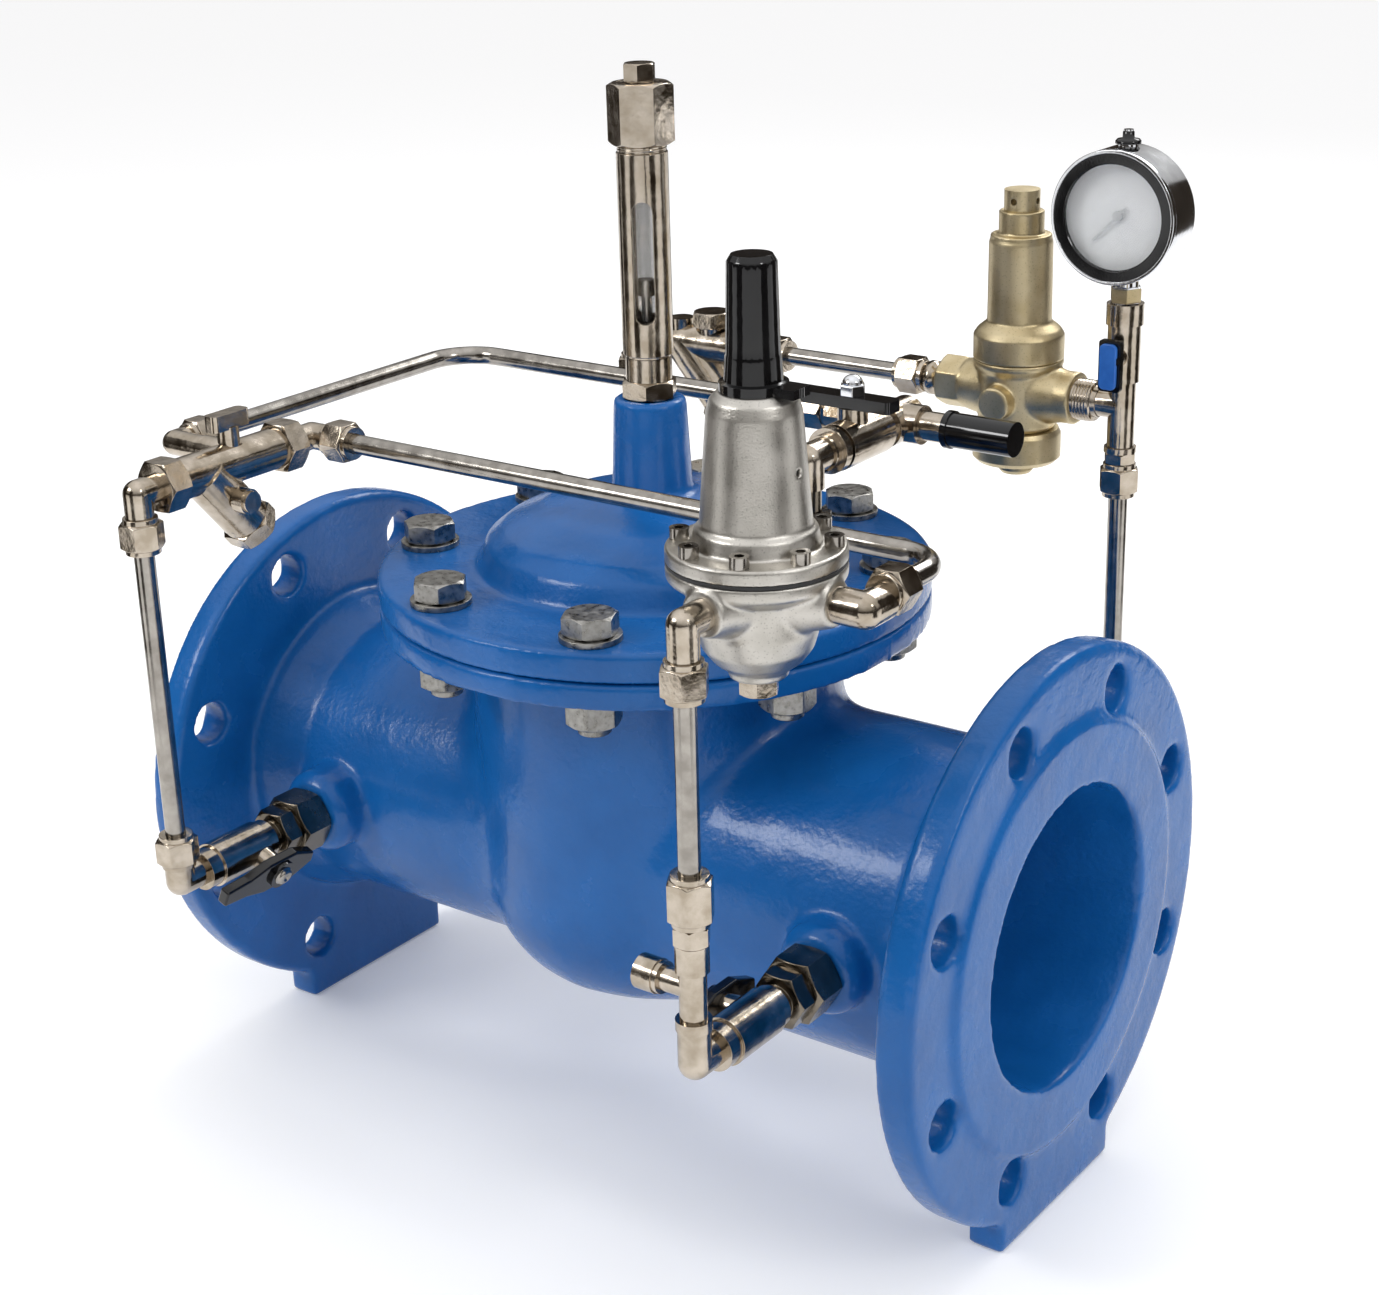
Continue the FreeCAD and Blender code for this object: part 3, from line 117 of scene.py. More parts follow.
# ---- finishes ------------------------------------------------------------------------------
@dataclass(frozen=True)
class Finish:
    """A surface: two tones mixed by mottling, a roughness range, and two scales of relief.

    Scales are features per metre; depths are in metres.  Specks is how much the scattered pits darken the tone.
    """

    slot: Slot
    tone: Colour
    second_tone: Colour
    metallic: float = 0.0
    roughness: tuple[float, float] = (0.3, 0.4)
    mottle_scale: float = 40.0
    grain_scale: float = 1200.0
    grain_depth: float = 0.00002
    swell_scale: float = 60.0
    swell_depth: float = 0.0
    coat: float = 0.0
    coat_roughness: float = 0.05
    transmission: float = 0.0
    ior: float = 1.5
    specks: float = 0.0
    sheen: float = 0.0
    specular: float = 0.5
    alpha: float = 1.0

    def material(self) -> bpy.types.Material:
        """Builds the finish.

        Returns:
            The node material.
        """
        made = bpy.data.materials.new(self.slot.value)
        made.use_nodes = True
        nodes = made.node_tree.nodes
        link = made.node_tree.links.new
        shader = nodes["Principled BSDF"]
        where = nodes.new("ShaderNodeTexCoord")

        def noise(scale: float, detail: float) -> bpy.types.Node:
            made_noise = nodes.new("ShaderNodeTexNoise")
            made_noise.inputs["Scale"].default_value = scale
            made_noise.inputs["Detail"].default_value = detail
            link(where.outputs["Object"], made_noise.inputs["Vector"])
            return made_noise

        mottle = noise(self.mottle_scale, 5.0)
        grain = noise(self.grain_scale, 3.0)
        tones = nodes.new("ShaderNodeValToRGB")
        tones.color_ramp.elements[0].position = 0.35
        tones.color_ramp.elements[1].position = 0.65
        tones.color_ramp.elements[0].color = (*self.tone, 1)
        tones.color_ramp.elements[1].color = (*self.second_tone, 1)
        link(mottle.outputs["Fac"], tones.inputs["Fac"])
        colour = tones.outputs["Color"]
        if self.specks:
            colour = self._speckle(nodes, link, where, colour)
        link(colour, shader.inputs["Base Color"])
        spread = nodes.new("ShaderNodeMapRange")
        spread.inputs["From Min"].default_value = 0.3
        spread.inputs["From Max"].default_value = 0.7
        spread.inputs["To Min"].default_value = self.roughness[0]
        spread.inputs["To Max"].default_value = self.roughness[1]
        link(mottle.outputs["Fac"], spread.inputs["Value"])
        link(spread.outputs["Result"], shader.inputs["Roughness"])
        relief = nodes.new("ShaderNodeBump")
        relief.inputs["Distance"].default_value = self.grain_depth
        link(grain.outputs["Fac"], relief.inputs["Height"])
        if self.swell_depth:
            swell = nodes.new("ShaderNodeBump")
            swell.inputs["Distance"].default_value = self.swell_depth
            link(noise(self.swell_scale, 2.0).outputs["Fac"], swell.inputs["Height"])
            link(swell.outputs["Normal"], relief.inputs["Normal"])
        link(relief.outputs["Normal"], shader.inputs["Normal"])
        shader.inputs["Metallic"].default_value = self.metallic
        shader.inputs["Coat Weight"].default_value = self.coat
        shader.inputs["Coat Roughness"].default_value = self.coat_roughness
        shader.inputs["Transmission Weight"].default_value = self.transmission
        shader.inputs["IOR"].default_value = self.ior
        shader.inputs["Sheen Weight"].default_value = self.sheen
        shader.inputs["Specular IOR Level"].default_value = self.specular
        shader.inputs["Alpha"].default_value = self.alpha
        return made

    def _speckle(self, nodes: bpy.types.Nodes, link: Callable, where: bpy.types.Node,
                 colour: bpy.types.NodeSocket) -> bpy.types.NodeSocket:
        """Darkens small scattered pits.

        Args:
            nodes: The material's nodes.
            link: Function that links two sockets.
            where: Coordinate node that the pattern uses.
            colour: Colour before the specks.

        Returns:
            The socket of the speckled colour.
        """
        cells = nodes.new("ShaderNodeTexVoronoi")
        cells.inputs["Scale"].default_value = self.grain_scale * 0.5
        link(where.outputs["Object"], cells.inputs["Vector"])
        pits = nodes.new("ShaderNodeMapRange")
        pits.inputs["From Min"].default_value = 0.05
        pits.inputs["From Max"].default_value = 0.32
        pits.inputs["To Min"].default_value = 1.0 - self.specks
        pits.inputs["To Max"].default_value = 1.0
        link(cells.outputs["Distance"], pits.inputs["Value"])
        mix = nodes.new("ShaderNodeVectorMath")
        mix.operation = "SCALE"
        link(colour, mix.inputs[0])
        link(pits.outputs["Result"], mix.inputs["Scale"])
        return mix.outputs["Vector"]


FINISHES = (
    Finish(Slot.EPOXY, (0.004, 0.092, 0.320), (0.007, 0.116, 0.385), roughness=(0.20, 0.30), mottle_scale=22.0,
           grain_scale=420.0, grain_depth=0.00022, swell_scale=70.0, swell_depth=0.0007, coat=0.15,
           coat_roughness=0.08, specular=0.28),
    Finish(Slot.CAST_STAINLESS, (0.45, 0.43, 0.39), (0.60, 0.575, 0.53), metallic=1.0, roughness=(0.28, 0.4),
           mottle_scale=55.0, grain_scale=1300.0, grain_depth=0.00012, specks=0.3),
    Finish(Slot.STAINLESS, (0.27, 0.25, 0.225), (0.40, 0.375, 0.34), metallic=1.0, roughness=(0.12, 0.24),
           mottle_scale=130.0, grain_scale=900.0, grain_depth=0.00001),
    Finish(Slot.NICKEL, (0.36, 0.305, 0.235), (0.54, 0.475, 0.395), metallic=1.0, roughness=(0.10, 0.24),
           mottle_scale=110.0, grain_scale=700.0, grain_depth=0.00003, swell_scale=180.0, swell_depth=0.00016),
    Finish(Slot.DARK_NICKEL, (0.13, 0.11, 0.085), (0.22, 0.19, 0.15), metallic=1.0, roughness=(0.14, 0.3),
           mottle_scale=90.0, grain_scale=800.0, grain_depth=0.00003),
    Finish(Slot.BRASS, (0.52, 0.42, 0.24), (0.66, 0.56, 0.36), metallic=1.0, roughness=(0.34, 0.46),
           mottle_scale=60.0, grain_scale=1300.0, grain_depth=0.0001, specks=0.25),
    Finish(Slot.ZINC, (0.20, 0.195, 0.18), (0.40, 0.39, 0.37), metallic=1.0, roughness=(0.22, 0.46),
           mottle_scale=260.0, grain_scale=600.0, grain_depth=0.00014, specks=0.4),
    Finish(Slot.BLACK, (0.003, 0.003, 0.0035), (0.006, 0.006, 0.0065), roughness=(0.07, 0.15), mottle_scale=80.0,
           grain_scale=900.0, grain_depth=0.00001),
    Finish(Slot.BLUE_GRIP, (0.02, 0.12, 0.45), (0.03, 0.16, 0.55), roughness=(0.32, 0.42), mottle_scale=120.0,
           grain_scale=1800.0, grain_depth=0.00003),
    Finish(Slot.RUBBER, (0.010, 0.010, 0.011), (0.018, 0.018, 0.019), roughness=(0.5, 0.65), sheen=0.1),
    Finish(Slot.GLASS, (0.96, 0.98, 0.98), (1.0, 1.0, 1.0), roughness=(0.0, 0.03), mottle_scale=50.0,
           grain_scale=120.0, grain_depth=0.000004, transmission=1.0, ior=1.45, alpha=0.35),
    Finish(Slot.DIAL, (0.86, 0.87, 0.88), (0.90, 0.91, 0.92), roughness=(0.45, 0.55), mottle_scale=30.0),
    Finish(Slot.POINTER, (0.58, 0.59, 0.60), (0.64, 0.65, 0.66), roughness=(0.4, 0.5)),
    Finish(Slot.CHROME, (0.62, 0.63, 0.65), (0.76, 0.77, 0.79), metallic=1.0, roughness=(0.05, 0.11),
           mottle_scale=60.0, grain_scale=500.0, grain_depth=0.00001),
    Finish(Slot.SPRING, (0.25, 0.24, 0.23), (0.36, 0.35, 0.33), metallic=1.0, roughness=(0.3, 0.4)),
)


class Palette:
    """All finishes of the valve, made once and handed out by slot."""

    def __init__(self, finishes: Sequence[Finish]) -> None:
        """Builds every material."""
        self.materials = {finish.slot: finish.material() for finish in finishes}

    def dress(self, piece: bpy.types.Object, slot: Slot) -> None:
        """Gives a piece its finish.

        Args:
            piece: Object to dress.
            slot: Finish that it takes.
        """
        piece.data.materials.clear()
        piece.data.materials.append(self.materials[slot])

    def dress_node(self, name: str, slot: Slot) -> None:
        """Gives a carried-over node its finish, rounds its edges and smooths its shading."""
        node = frame["nodes"][name]
        self.dress(node, slot)
        add_soft_edges(node)


# ---- mesh helpers ----------------------------------------------------------------------------
def add_soft_edges(piece: bpy.types.Object, width: float = 0.35 * MM, angle: float = 32.0) -> None:
    """Adds a small machined edge break to a piece.

    Args:
        piece: Object to soften.
        width: Width of the edge break.
        angle: Smallest angle, in degrees, that counts as an edge.
    """
    weld = piece.modifiers.new("weld", "WELD")
    weld.merge_threshold = WELD_REACH
    bevel = piece.modifiers.new("edge_break", "BEVEL")
    bevel.width = width
    bevel.segments = 2
    bevel.limit_method = "ANGLE"
    bevel.angle_limit = math.radians(angle)
    bevel.use_clamp_overlap = True
    shading = piece.modifiers.new("shading", "WEIGHTED_NORMAL")
    shading.keep_sharp = False


def new_piece(name: str, verts: Sequence[Vector], faces: Sequence[Sequence[int]]) -> bpy.types.Object:
    """Makes a smooth-shaded mesh object.

    Args:
        name: Name of the piece.
        verts: Corner points in the part's frame.
        faces: Corner numbers of each face.

    Returns:
        The new object.
    """
    mesh = bpy.data.meshes.new(name)
    mesh.from_pydata([tuple(v) for v in verts], [], [tuple(f) for f in faces])
    piece = bpy.data.objects.new(name, mesh)
    bpy.context.scene.collection.objects.link(piece)
    shaper = bmesh.new()
    shaper.from_mesh(mesh)
    bmesh.ops.recalc_face_normals(shaper, faces=shaper.faces)
    for face in shaper.faces:
        face.smooth = True
    shaper.to_mesh(mesh)
    shaper.free()
    return piece


def facing(axis: Vector) -> Matrix:
    """Rotation that turns +Z onto an axis."""
    return Z_AXIS.rotation_difference(Vector(axis).normalized()).to_matrix()


def lathe(name: str, origin: Vector, axis: Vector, profile: Sequence[tuple[float, float]],
          segments: int = 64) -> bpy.types.Object:
    """Turns a profile of (radius, height) points into a closed body.

    Args:
        name: Name of the piece.
        origin: Point where height is zero.
        axis: Axis of the turning.
        profile: Radius and height of each point, from the foot to the top.
        segments: Number of steps round the axis.

    Returns:
        The new object.
    """
    turn = facing(axis)
    verts, faces = [], []
    for radius, height in profile:
        for step in range(segments):
            angle = 2 * math.pi * step / segments
            local = Vector((radius * math.cos(angle), radius * math.sin(angle), height))
            verts.append(Vector(origin) + turn @ local)
    for row in range(len(profile) - 1):
        for step in range(segments):
            after = (step + 1) % segments
            low, high = row * segments, (row + 1) * segments
            faces.append((low + step, low + after, high + after, high + step))
    faces.append(tuple(range(segments)))
    faces.append(tuple((len(profile) - 1) * segments + step for step in range(segments)))
    return new_piece(name, verts, faces)


def ring_profile(name: str, origin: Vector, axis: Vector, profile: Sequence[tuple[float, float]],
                 segments: int = 96) -> bpy.types.Object:
    """Turns a closed outline of (radius, height) points into a ring.

    Args:
        name: Name of the piece.
        origin: Point where height is zero.
        axis: Axis of the ring.
        profile: Corners of the closed outline, in order.
        segments: Number of steps round the axis.

    Returns:
        The new object.
    """
    turn = facing(axis)
    verts, faces = [], []
    count = len(profile)
    for step in range(segments):
        angle = 2 * math.pi * step / segments
        for radius, height in profile:
            local = Vector((radius * math.cos(angle), radius * math.sin(angle), height))
            verts.append(Vector(origin) + turn @ local)
    for step in range(segments):
        here, after = step * count, (step + 1) % segments * count
        for corner in range(count):
            following = (corner + 1) % count
            faces.append((here + corner, here + following, after + following, after + corner))
    piece = new_piece(name, verts, faces)
    add_soft_edges(piece, 0.15 * MM)
    return piece


def rounded_plate(name: str, across: tuple[float, float], upright: tuple[float, float], face_y: float,
                  thickness: float) -> bpy.types.Object:
    """Makes a plate with round corners, standing square to Y.

    Args:
        name: Name of the piece.
        across: Lowest and highest X.
        upright: Lowest and highest Z.
        face_y: Y of the back face.
        thickness: How far it stands out towards -Y.

    Returns:
        The new object.
    """
    radius = 0.3 * (across[1] - across[0])
    outline = []
    for quarter, (x, z) in enumerate(((across[1], upright[1]), (across[0], upright[1]),
                                      (across[0], upright[0]), (across[1], upright[0]))):
        centre_x = x - math.copysign(radius, x - sum(across) / 2)
        centre_z = z - math.copysign(radius, z - sum(upright) / 2)
        for step in range(7):
            angle = math.radians(90 * quarter + 15 * step)
            outline.append((centre_x + radius * math.cos(angle), centre_z + radius * math.sin(angle)))
    count = len(outline)
    verts = [Vector((x, face_y, z)) for x, z in outline]
    verts += [Vector((x, face_y - thickness, z)) for x, z in outline]
    faces = [tuple(range(count)), tuple(range(count, 2 * count))]
    faces += [(i, (i + 1) % count, count + (i + 1) % count, count + i) for i in range(count)]
    piece = new_piece(name, verts, faces)
    add_soft_edges(piece, 0.5 * MM)
    return piece


def screw_thread(name: str, origin: Vector, axis: Vector, radius: float, length: float,
                 pitch: float) -> bpy.types.Object:
    """Makes a rod with a helical ridge.

    Args:
        name: Name of the piece.
        origin: Start of the thread.
        axis: Direction in which it runs.
        radius: Crest radius.
        length: Threaded length.
        pitch: Distance between crests.

    Returns:
        The new object.
    """
    segments, steps_per_pitch = 32, 4
    depth = 0.45 * pitch
    rows = max(2, round(length / pitch * steps_per_pitch))
    turn = facing(axis)
    verts, faces = [], []
    for row in range(rows + 1):
        height = length * row / rows
        for step in range(segments):
            phase = (height / pitch - step / segments) % 1.0
            ridge = 1.0 - abs(2.0 * phase - 1.0)
            edge = min(1.0, height / pitch, (length - height) / pitch)
            here = radius - depth + depth * ridge * edge
            angle = 2 * math.pi * step / segments
            local = Vector((here * math.cos(angle), here * math.sin(angle), height))
            verts.append(Vector(origin) + turn @ local)
    for row in range(rows):
        for step in range(segments):
            after = (step + 1) % segments
            low, high = row * segments, (row + 1) * segments
            faces.append((low + step, low + after, high + after, high + step))
    faces.append(tuple(range(segments)))
    faces.append(tuple(rows * segments + step for step in range(segments)))
    return new_piece(name, verts, faces)


def joined(name: str, pieces: Sequence[bpy.types.Object]) -> bpy.types.Object:
    """Joins pieces into one object of the given name.

    Args:
        name: Name of the result.
        pieces: Objects to join; they are used up.

    Returns:
        The joined object.
    """
    shaper = bmesh.new()
    for piece in pieces:
        shaper.from_mesh(piece.data)
        bpy.data.objects.remove(piece)
    mesh = bpy.data.meshes.new(name)
    shaper.to_mesh(mesh)
    shaper.free()
    whole = bpy.data.objects.new(name, mesh)
    bpy.context.scene.collection.objects.link(whole)
    return whole


def place(piece: bpy.types.Object, body: str, slot: Slot, palette: Palette) -> bpy.types.Object:
    """Dresses a finished piece and lets it ride on a body.

    Args:
        piece: Object to place.
        body: Body that it moves with.
        slot: Finish that it takes.
        palette: The materials.

    Returns:
        The same object.
    """
    palette.dress(piece, slot)
    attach(piece, body)
    LOG.info("%s: %d faces, on %s", piece.name, len(piece.data.polygons), body)
    return piece


def centre_of(node: str) -> Vector:
    """Middle of a node's box."""
    low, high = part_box(node)
    return (low + high) / 2


def joint_line(name: str) -> tuple[Vector, Vector]:
    """Point and direction of a joint's axis."""
    joint = next(joint for joint in frame["joints"] if joint["name"] == name)
    return Vector(joint["pos_m"]), Vector(joint["axis"]).normalized()


# ---- castings ----------------------------------------------------------------------------------
def relax(points: np.ndarray, edges: np.ndarray, weight: np.ndarray, rounds: int) -> np.ndarray:
    """Moves each point towards the mean of its neighbours, as far as its weight allows.

    Args:
        points: Coordinates, one row per point.
        edges: Pairs of neighbouring points.
        weight: Share from 0 to 1 for each point.
        rounds: Number of passes.

    Returns:
        The relaxed coordinates.
    """
    first, second = edges[:, 0], edges[:, 1]
    total = len(points)
    neighbours = np.bincount(edges.ravel(), minlength=total)[:, None]
    pull = 0.5 * weight[:, None]
    for _ in range(rounds):
        sums = np.empty_like(points)
        for axis in range(3):
            column = points[:, axis]
            sums[:, axis] = (np.bincount(first, column[second], total)
                             + np.bincount(second, column[first], total))
        points = points + pull * (sums / neighbours - points)
    return points


@dataclass(frozen=True)
class Casting:
    """A cast piece that takes a node's shape, with every edge and corner rounded as in sand casting."""

    node: str
    slot: Slot
    grid: float
    rounds: int
    blend_rounds: int = 0
    blend_share: Callable[[np.ndarray], np.ndarray] | None = None

    def build(self, palette: Palette) -> bpy.types.Object:
        """Makes the rounded copy and puts it in the node's place.

        Args:
            palette: The materials.

        Returns:
            The cast piece.
        """
        source = frame["nodes"][self.node]
        mesh = source.data.copy()
        shaper = bmesh.new()
        shaper.from_mesh(mesh)
        bmesh.ops.remove_doubles(shaper, verts=shaper.verts, dist=WELD_REACH)
        shaper.to_mesh(mesh)
        shaper.free()
        piece = bpy.data.objects.new("cast_" + self.node, mesh)
        bpy.context.scene.collection.objects.link(piece)
        cells = piece.modifiers.new("cells", "REMESH")
        cells.mode = "VOXEL"
        cells.voxel_size = self.grid * 1.0
        view = bpy.context.evaluated_depsgraph_get()
        skin = bpy.data.meshes.new_from_object(piece.evaluated_get(view))
        piece.modifiers.clear()
        piece.data = skin
        points = np.empty(len(skin.vertices) * 3)
        skin.vertices.foreach_get("co", points)
        points = points.reshape(-1, 3)
        edges = np.empty(len(skin.edges) * 2, dtype=np.int64)
        skin.edges.foreach_get("vertices", edges)
        edges = edges.reshape(-1, 2)
        if self.blend_share is not None:
            points = relax(points, edges, self.blend_share(points), self.blend_rounds)
        points = relax(points, edges, np.ones(len(points)), self.rounds)
        skin.vertices.foreach_set("co", points.ravel())
        skin.polygons.foreach_set("use_smooth", np.ones(len(skin.polygons), dtype=bool))
        skin.update()
        place(piece, source["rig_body"], self.slot, palette)
        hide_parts(self.node)
        return piece


@dataclass(frozen=True)
class MainValve:
    """Body and cover castings, with the threaded ends of the cover bolts."""

    bowl_radius: float = 95 * MM
    bowl_depth: float = 80 * MM
    bowl_corner: float = 62 * MM
    skin_depth: float = 3 * MM
    throat_height: float = 120 * MM
    inlet_neck: float = 78 * MM
    outlet_neck: float = 83.5 * MM
    blend_reach: float = 34 * MM
    bolt_count: int = 8
    bolt_circle: float = 120 * MM
    stud_radius: float = 8 * MM
    body_grid: float = 2.0 * MM
    cover_grid: float = 1.6 * MM
    first_bolt_deg: float = 22.5
    stud_pitch: float = 2.0 * MM
    thread_crest: float = 0.25 * MM
    stud_lead: float = 0.5 * MM

    def _stem(self) -> Vector:
        """Point of the stem's axis at the pipe's height."""
        middle = centre_of("stem")
        return Vector((middle.x, middle.y, 0.0))

    def crease_share(self, points: np.ndarray) -> np.ndarray:
        """How much each point of the body takes part in the blends between bowl, necks and top flange.

        Args:
            points: Coordinates, one row per point.

        Returns:
            A share from 0 to 1 for each point.
        """
        x, y, z = (points - np.array(self._stem())).T
        above_neck = np.hypot(y, z) - np.where(x < 0, self.inlet_neck, self.outlet_neck)
        reach_out = np.maximum(np.hypot(x, y) - self.bowl_radius + self.bowl_corner, 0)
        reach_down = np.maximum(self.bowl_corner - self.bowl_depth - z, 0)
        above_bowl = np.hypot(reach_out, reach_down) - self.bowl_corner
        reach = np.where(x < 0, 0.5, 1.0) * self.blend_reach
        far = np.maximum(np.abs(above_neck), np.abs(above_bowl)) / reach
        share = np.clip(1.6 * (1 - far), 0, 1)
        to_throat = np.hypot(above_bowl, z - self.throat_height) / (0.35 * self.blend_reach)
        share = np.maximum(share, np.clip(1.5 * (1 - to_throat), 0, 1))
        skin = np.minimum(above_neck, above_bowl) > -self.skin_depth
        return np.where(skin, share, 0.0)

    def build(self, palette: Palette) -> None:
        """Makes the castings and the bolts' threaded ends."""
        Casting("main_body", Slot.EPOXY, self.body_grid, 4, 90, self.crease_share).build(palette)
        Casting("cover", Slot.EPOXY, self.cover_grid, 5).build(palette)
        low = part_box("cover_bolts")[0].z
        nut_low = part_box("cover_nuts")[0].z
        ends = []
        for index in range(self.bolt_count):
            angle = math.radians(self.first_bolt_deg + 360 / self.bolt_count * index)
            arm = Vector((math.cos(angle), math.sin(angle), 0)) * self.bolt_circle
            foot = self._stem() + arm + Z_AXIS * (low - self.stud_lead)
            ends.append(screw_thread("stud", foot, Z_AXIS, self.stud_radius + self.thread_crest,
                                     nut_low - low + 2 * self.stud_lead, self.stud_pitch))
        place(joined("stud_threads", ends), "valve", Slot.ZINC, palette)

    def dress(self, palette: Palette) -> None:
        """Finishes the cover's fasteners."""
        for name in ("cover_bolts", "cover_washers", "cover_nuts"):
            palette.dress_node(name, Slot.ZINC)


@dataclass(frozen=True)
class SightGauge:
    """Position indicator on the cover's neck."""

    thread_radius: float = 12.2 * MM
    thread_below: float = 3.4 * MM
    thread_length: float = 3.6 * MM
    thread_pitch: float = 1.2 * MM

    def build(self, palette: Palette) -> None:
        """Adds the thread under the cap nut."""
        middle = centre_of("sight_cap_nut")
        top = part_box("sight_cap_nut")[0].z
        foot = Vector((middle.x, middle.y, top - self.thread_below))
        thread = screw_thread("sight_thread", foot, Z_AXIS, self.thread_radius, self.thread_length, self.thread_pitch)
        place(thread, "valve", Slot.NICKEL, palette)


@dataclass(frozen=True)
class Pilot:
    """Pilot valve castings."""

    def build(self, palette: Palette) -> None:
        """Makes the cast body and bonnet."""
        Casting("pilot_body", Slot.CAST_STAINLESS, 0.8 * MM, 8).build(palette)
        Casting("pilot_bonnet", Slot.CAST_STAINLESS, 0.7 * MM, 2).build(palette)


@dataclass(frozen=True)
class Reducer:
    """Small brass reducing valve behind."""

    def build(self, palette: Palette) -> None:
        """Makes the sand-cast brass pieces."""
        Casting("reducer_body", Slot.BRASS, 0.8 * MM, 4).build(palette)
        Casting("reducer_bonnet", Slot.BRASS, 0.7 * MM, 1).build(palette)


@dataclass(frozen=True)
class Manometer:
    """Pressure gauge on its ball valve, at the back."""

    rim: float = 1.8 * MM
    ring: float = 7.4 * MM
    bezel_depth: float = 3.0 * MM
    hex_across: float = 14.8 * MM
    nut_above_valve: float = 0.3 * MM
    vent_back: float = 16.0 * MM
    vent_below_top: float = 6.9 * MM
    lever_inset: float = 1.6 * MM
    insert_thickness: float = 2.4 * MM

    def build(self, palette: Palette) -> None:
        """Makes the bezel, the brass nut, the blow-out plug and the lever's insert."""
        low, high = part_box("gauge_bezel")
        radius = (high.z - low.z) / 2
        centre = Vector(((low.x + high.x) / 2, low.y, (low.z + high.z) / 2))
        rim = ring_profile("gauge_rim", centre, Y_AXIS, [
            (radius - self.rim, 0.6 * MM), (radius - self.rim, 0.0), (radius - 0.3 * MM, 0.0), (radius, 0.5 * MM),
            (radius, self.bezel_depth), (radius - self.rim, self.bezel_depth),
        ])
        place(rim, "valve", Slot.CHROME, palette)
        inner = ring_profile("gauge_ring", centre, Y_AXIS, [
            (radius - self.ring, 1.4 * MM), (radius - self.ring + 0.5 * MM, 0.7 * MM),
            (radius - self.rim, 0.5 * MM),
            (radius - self.rim, self.bezel_depth), (radius - self.ring, self.bezel_depth),
        ])
        place(inner, "valve", Slot.BLACK, palette)
        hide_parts("gauge_bezel")
        stem_x = centre_of("gauge_valve_body").x
        body_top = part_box("gauge_valve_body")[1].z
        axis_y = joint_line("gauge_valve_turn")[0].y
        foot = Vector((stem_x, axis_y, body_top + self.nut_above_valve))
        across = self.hex_across / math.sqrt(3)
        nut = lathe("gauge_brass_nut", foot, Z_AXIS, [
            (across * 0.9, 0), (across * 1.0, 0.9 * MM), (across * 1.0, 7.4 * MM), (across * 0.9, 8.2 * MM),
            (across * 0.78, 8.4 * MM), (across * 0.78, 11.5 * MM),
        ], 6)
        for face in nut.data.polygons:
            face.use_smooth = False
        add_soft_edges(nut, 0.3 * MM)
        place(nut, "valve", Slot.BRASS, palette)
        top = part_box("gauge_case")[1].z
        plug_foot = Vector((centre.x, low.y + self.vent_back, top - self.vent_below_top))
        plug = lathe("gauge_vent_plug", plug_foot, Z_AXIS, [
            (6.5 * MM, 0), (6.5 * MM, 1.2 * MM), (5.6 * MM, 2.2 * MM), (3.0 * MM, 2.6 * MM), (2.9 * MM, 5.6 * MM),
            (2.2 * MM, 6.6 * MM),
        ], 32)
        place(plug, "valve", Slot.BLACK, palette)
        lever_low, lever_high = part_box("gauge_valve_lever")
        inset = self.lever_inset
        insert = rounded_plate("gauge_lever_insert", (lever_low.x + inset, lever_high.x - inset),
                               (lever_low.z + inset, lever_high.z - inset), lever_low.y + inset,
                               self.insert_thickness)
        place(insert, "gauge_valve", Slot.BLUE_GRIP, palette)


@dataclass(frozen=True)
class Fittings:
    """Nipple before the brass reducer and the thread after it."""

    pipe_height: float = 205 * MM
    rear_line: float = 190 * MM
    nipple_length: float = 13 * MM
    thread_radius: float = 11.2 * MM
    thread_length: float = 11 * MM
    thread_pitch: float = 1.8 * MM

    def build(self, palette: Palette) -> None:
        """Makes the nipple and the thread."""
        low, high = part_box("reducer_body")
        nipple_start = Vector((low.x - self.nipple_length, self.rear_line, self.pipe_height))
        nipple = lathe("reducer_inlet_nipple", nipple_start, X_AXIS, [
            (6.6 * MM, 0), (6.6 * MM, 4 * MM), (9.2 * MM, 4.6 * MM), (9.2 * MM, 8.4 * MM), (7.4 * MM, 9 * MM),
            (7.4 * MM, 13.5 * MM),
        ], 48)
        place(nipple, "valve", Slot.NICKEL, palette)
        thread_start = Vector((high.x - 0.5 * MM, self.rear_line, self.pipe_height))
        thread = screw_thread("reducer_outlet_thread", thread_start, X_AXIS, self.thread_radius, self.thread_length,
                              self.thread_pitch)
        place(thread, "valve", Slot.NICKEL, palette)


@dataclass(frozen=True)
class DomeNut:
    """Plated dome nut that holds the lever of the control valve."""

    radius: float = 6.7 * MM
    seat_below_top: float = 4.9 * MM
    foot_height: float = 5.0 * MM

    def build(self, palette: Palette) -> None:
        """Makes a hexagon with a dome on it, over the lever's nut."""
        point, axis = joint_line("control_valve_turn")
        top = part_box("control_valve_lever")[1].z
        seat = Vector((point.x, point.y, top - self.seat_below_top))
        r = self.radius
        foot = lathe("control_lever_nut", seat, axis, [
            (r, 0), (r, self.foot_height), (r * 0.9, self.foot_height + 0.6 * MM),
        ], 6)
        for face in foot.data.polygons:
            face.use_smooth = False
        add_soft_edges(foot, 0.3 * MM)
        place(foot, "control_valve", Slot.CHROME, palette)
        dome_profile = [(r * 0.8 * math.cos(t), self.foot_height + 0.4 * MM + r * 0.7 * math.sin(t))
                        for t in [math.radians(12 * step) for step in range(8)]]
        dome = lathe("control_lever_dome", seat, axis, dome_profile, 32)
        place(dome, "control_valve", Slot.CHROME, palette)


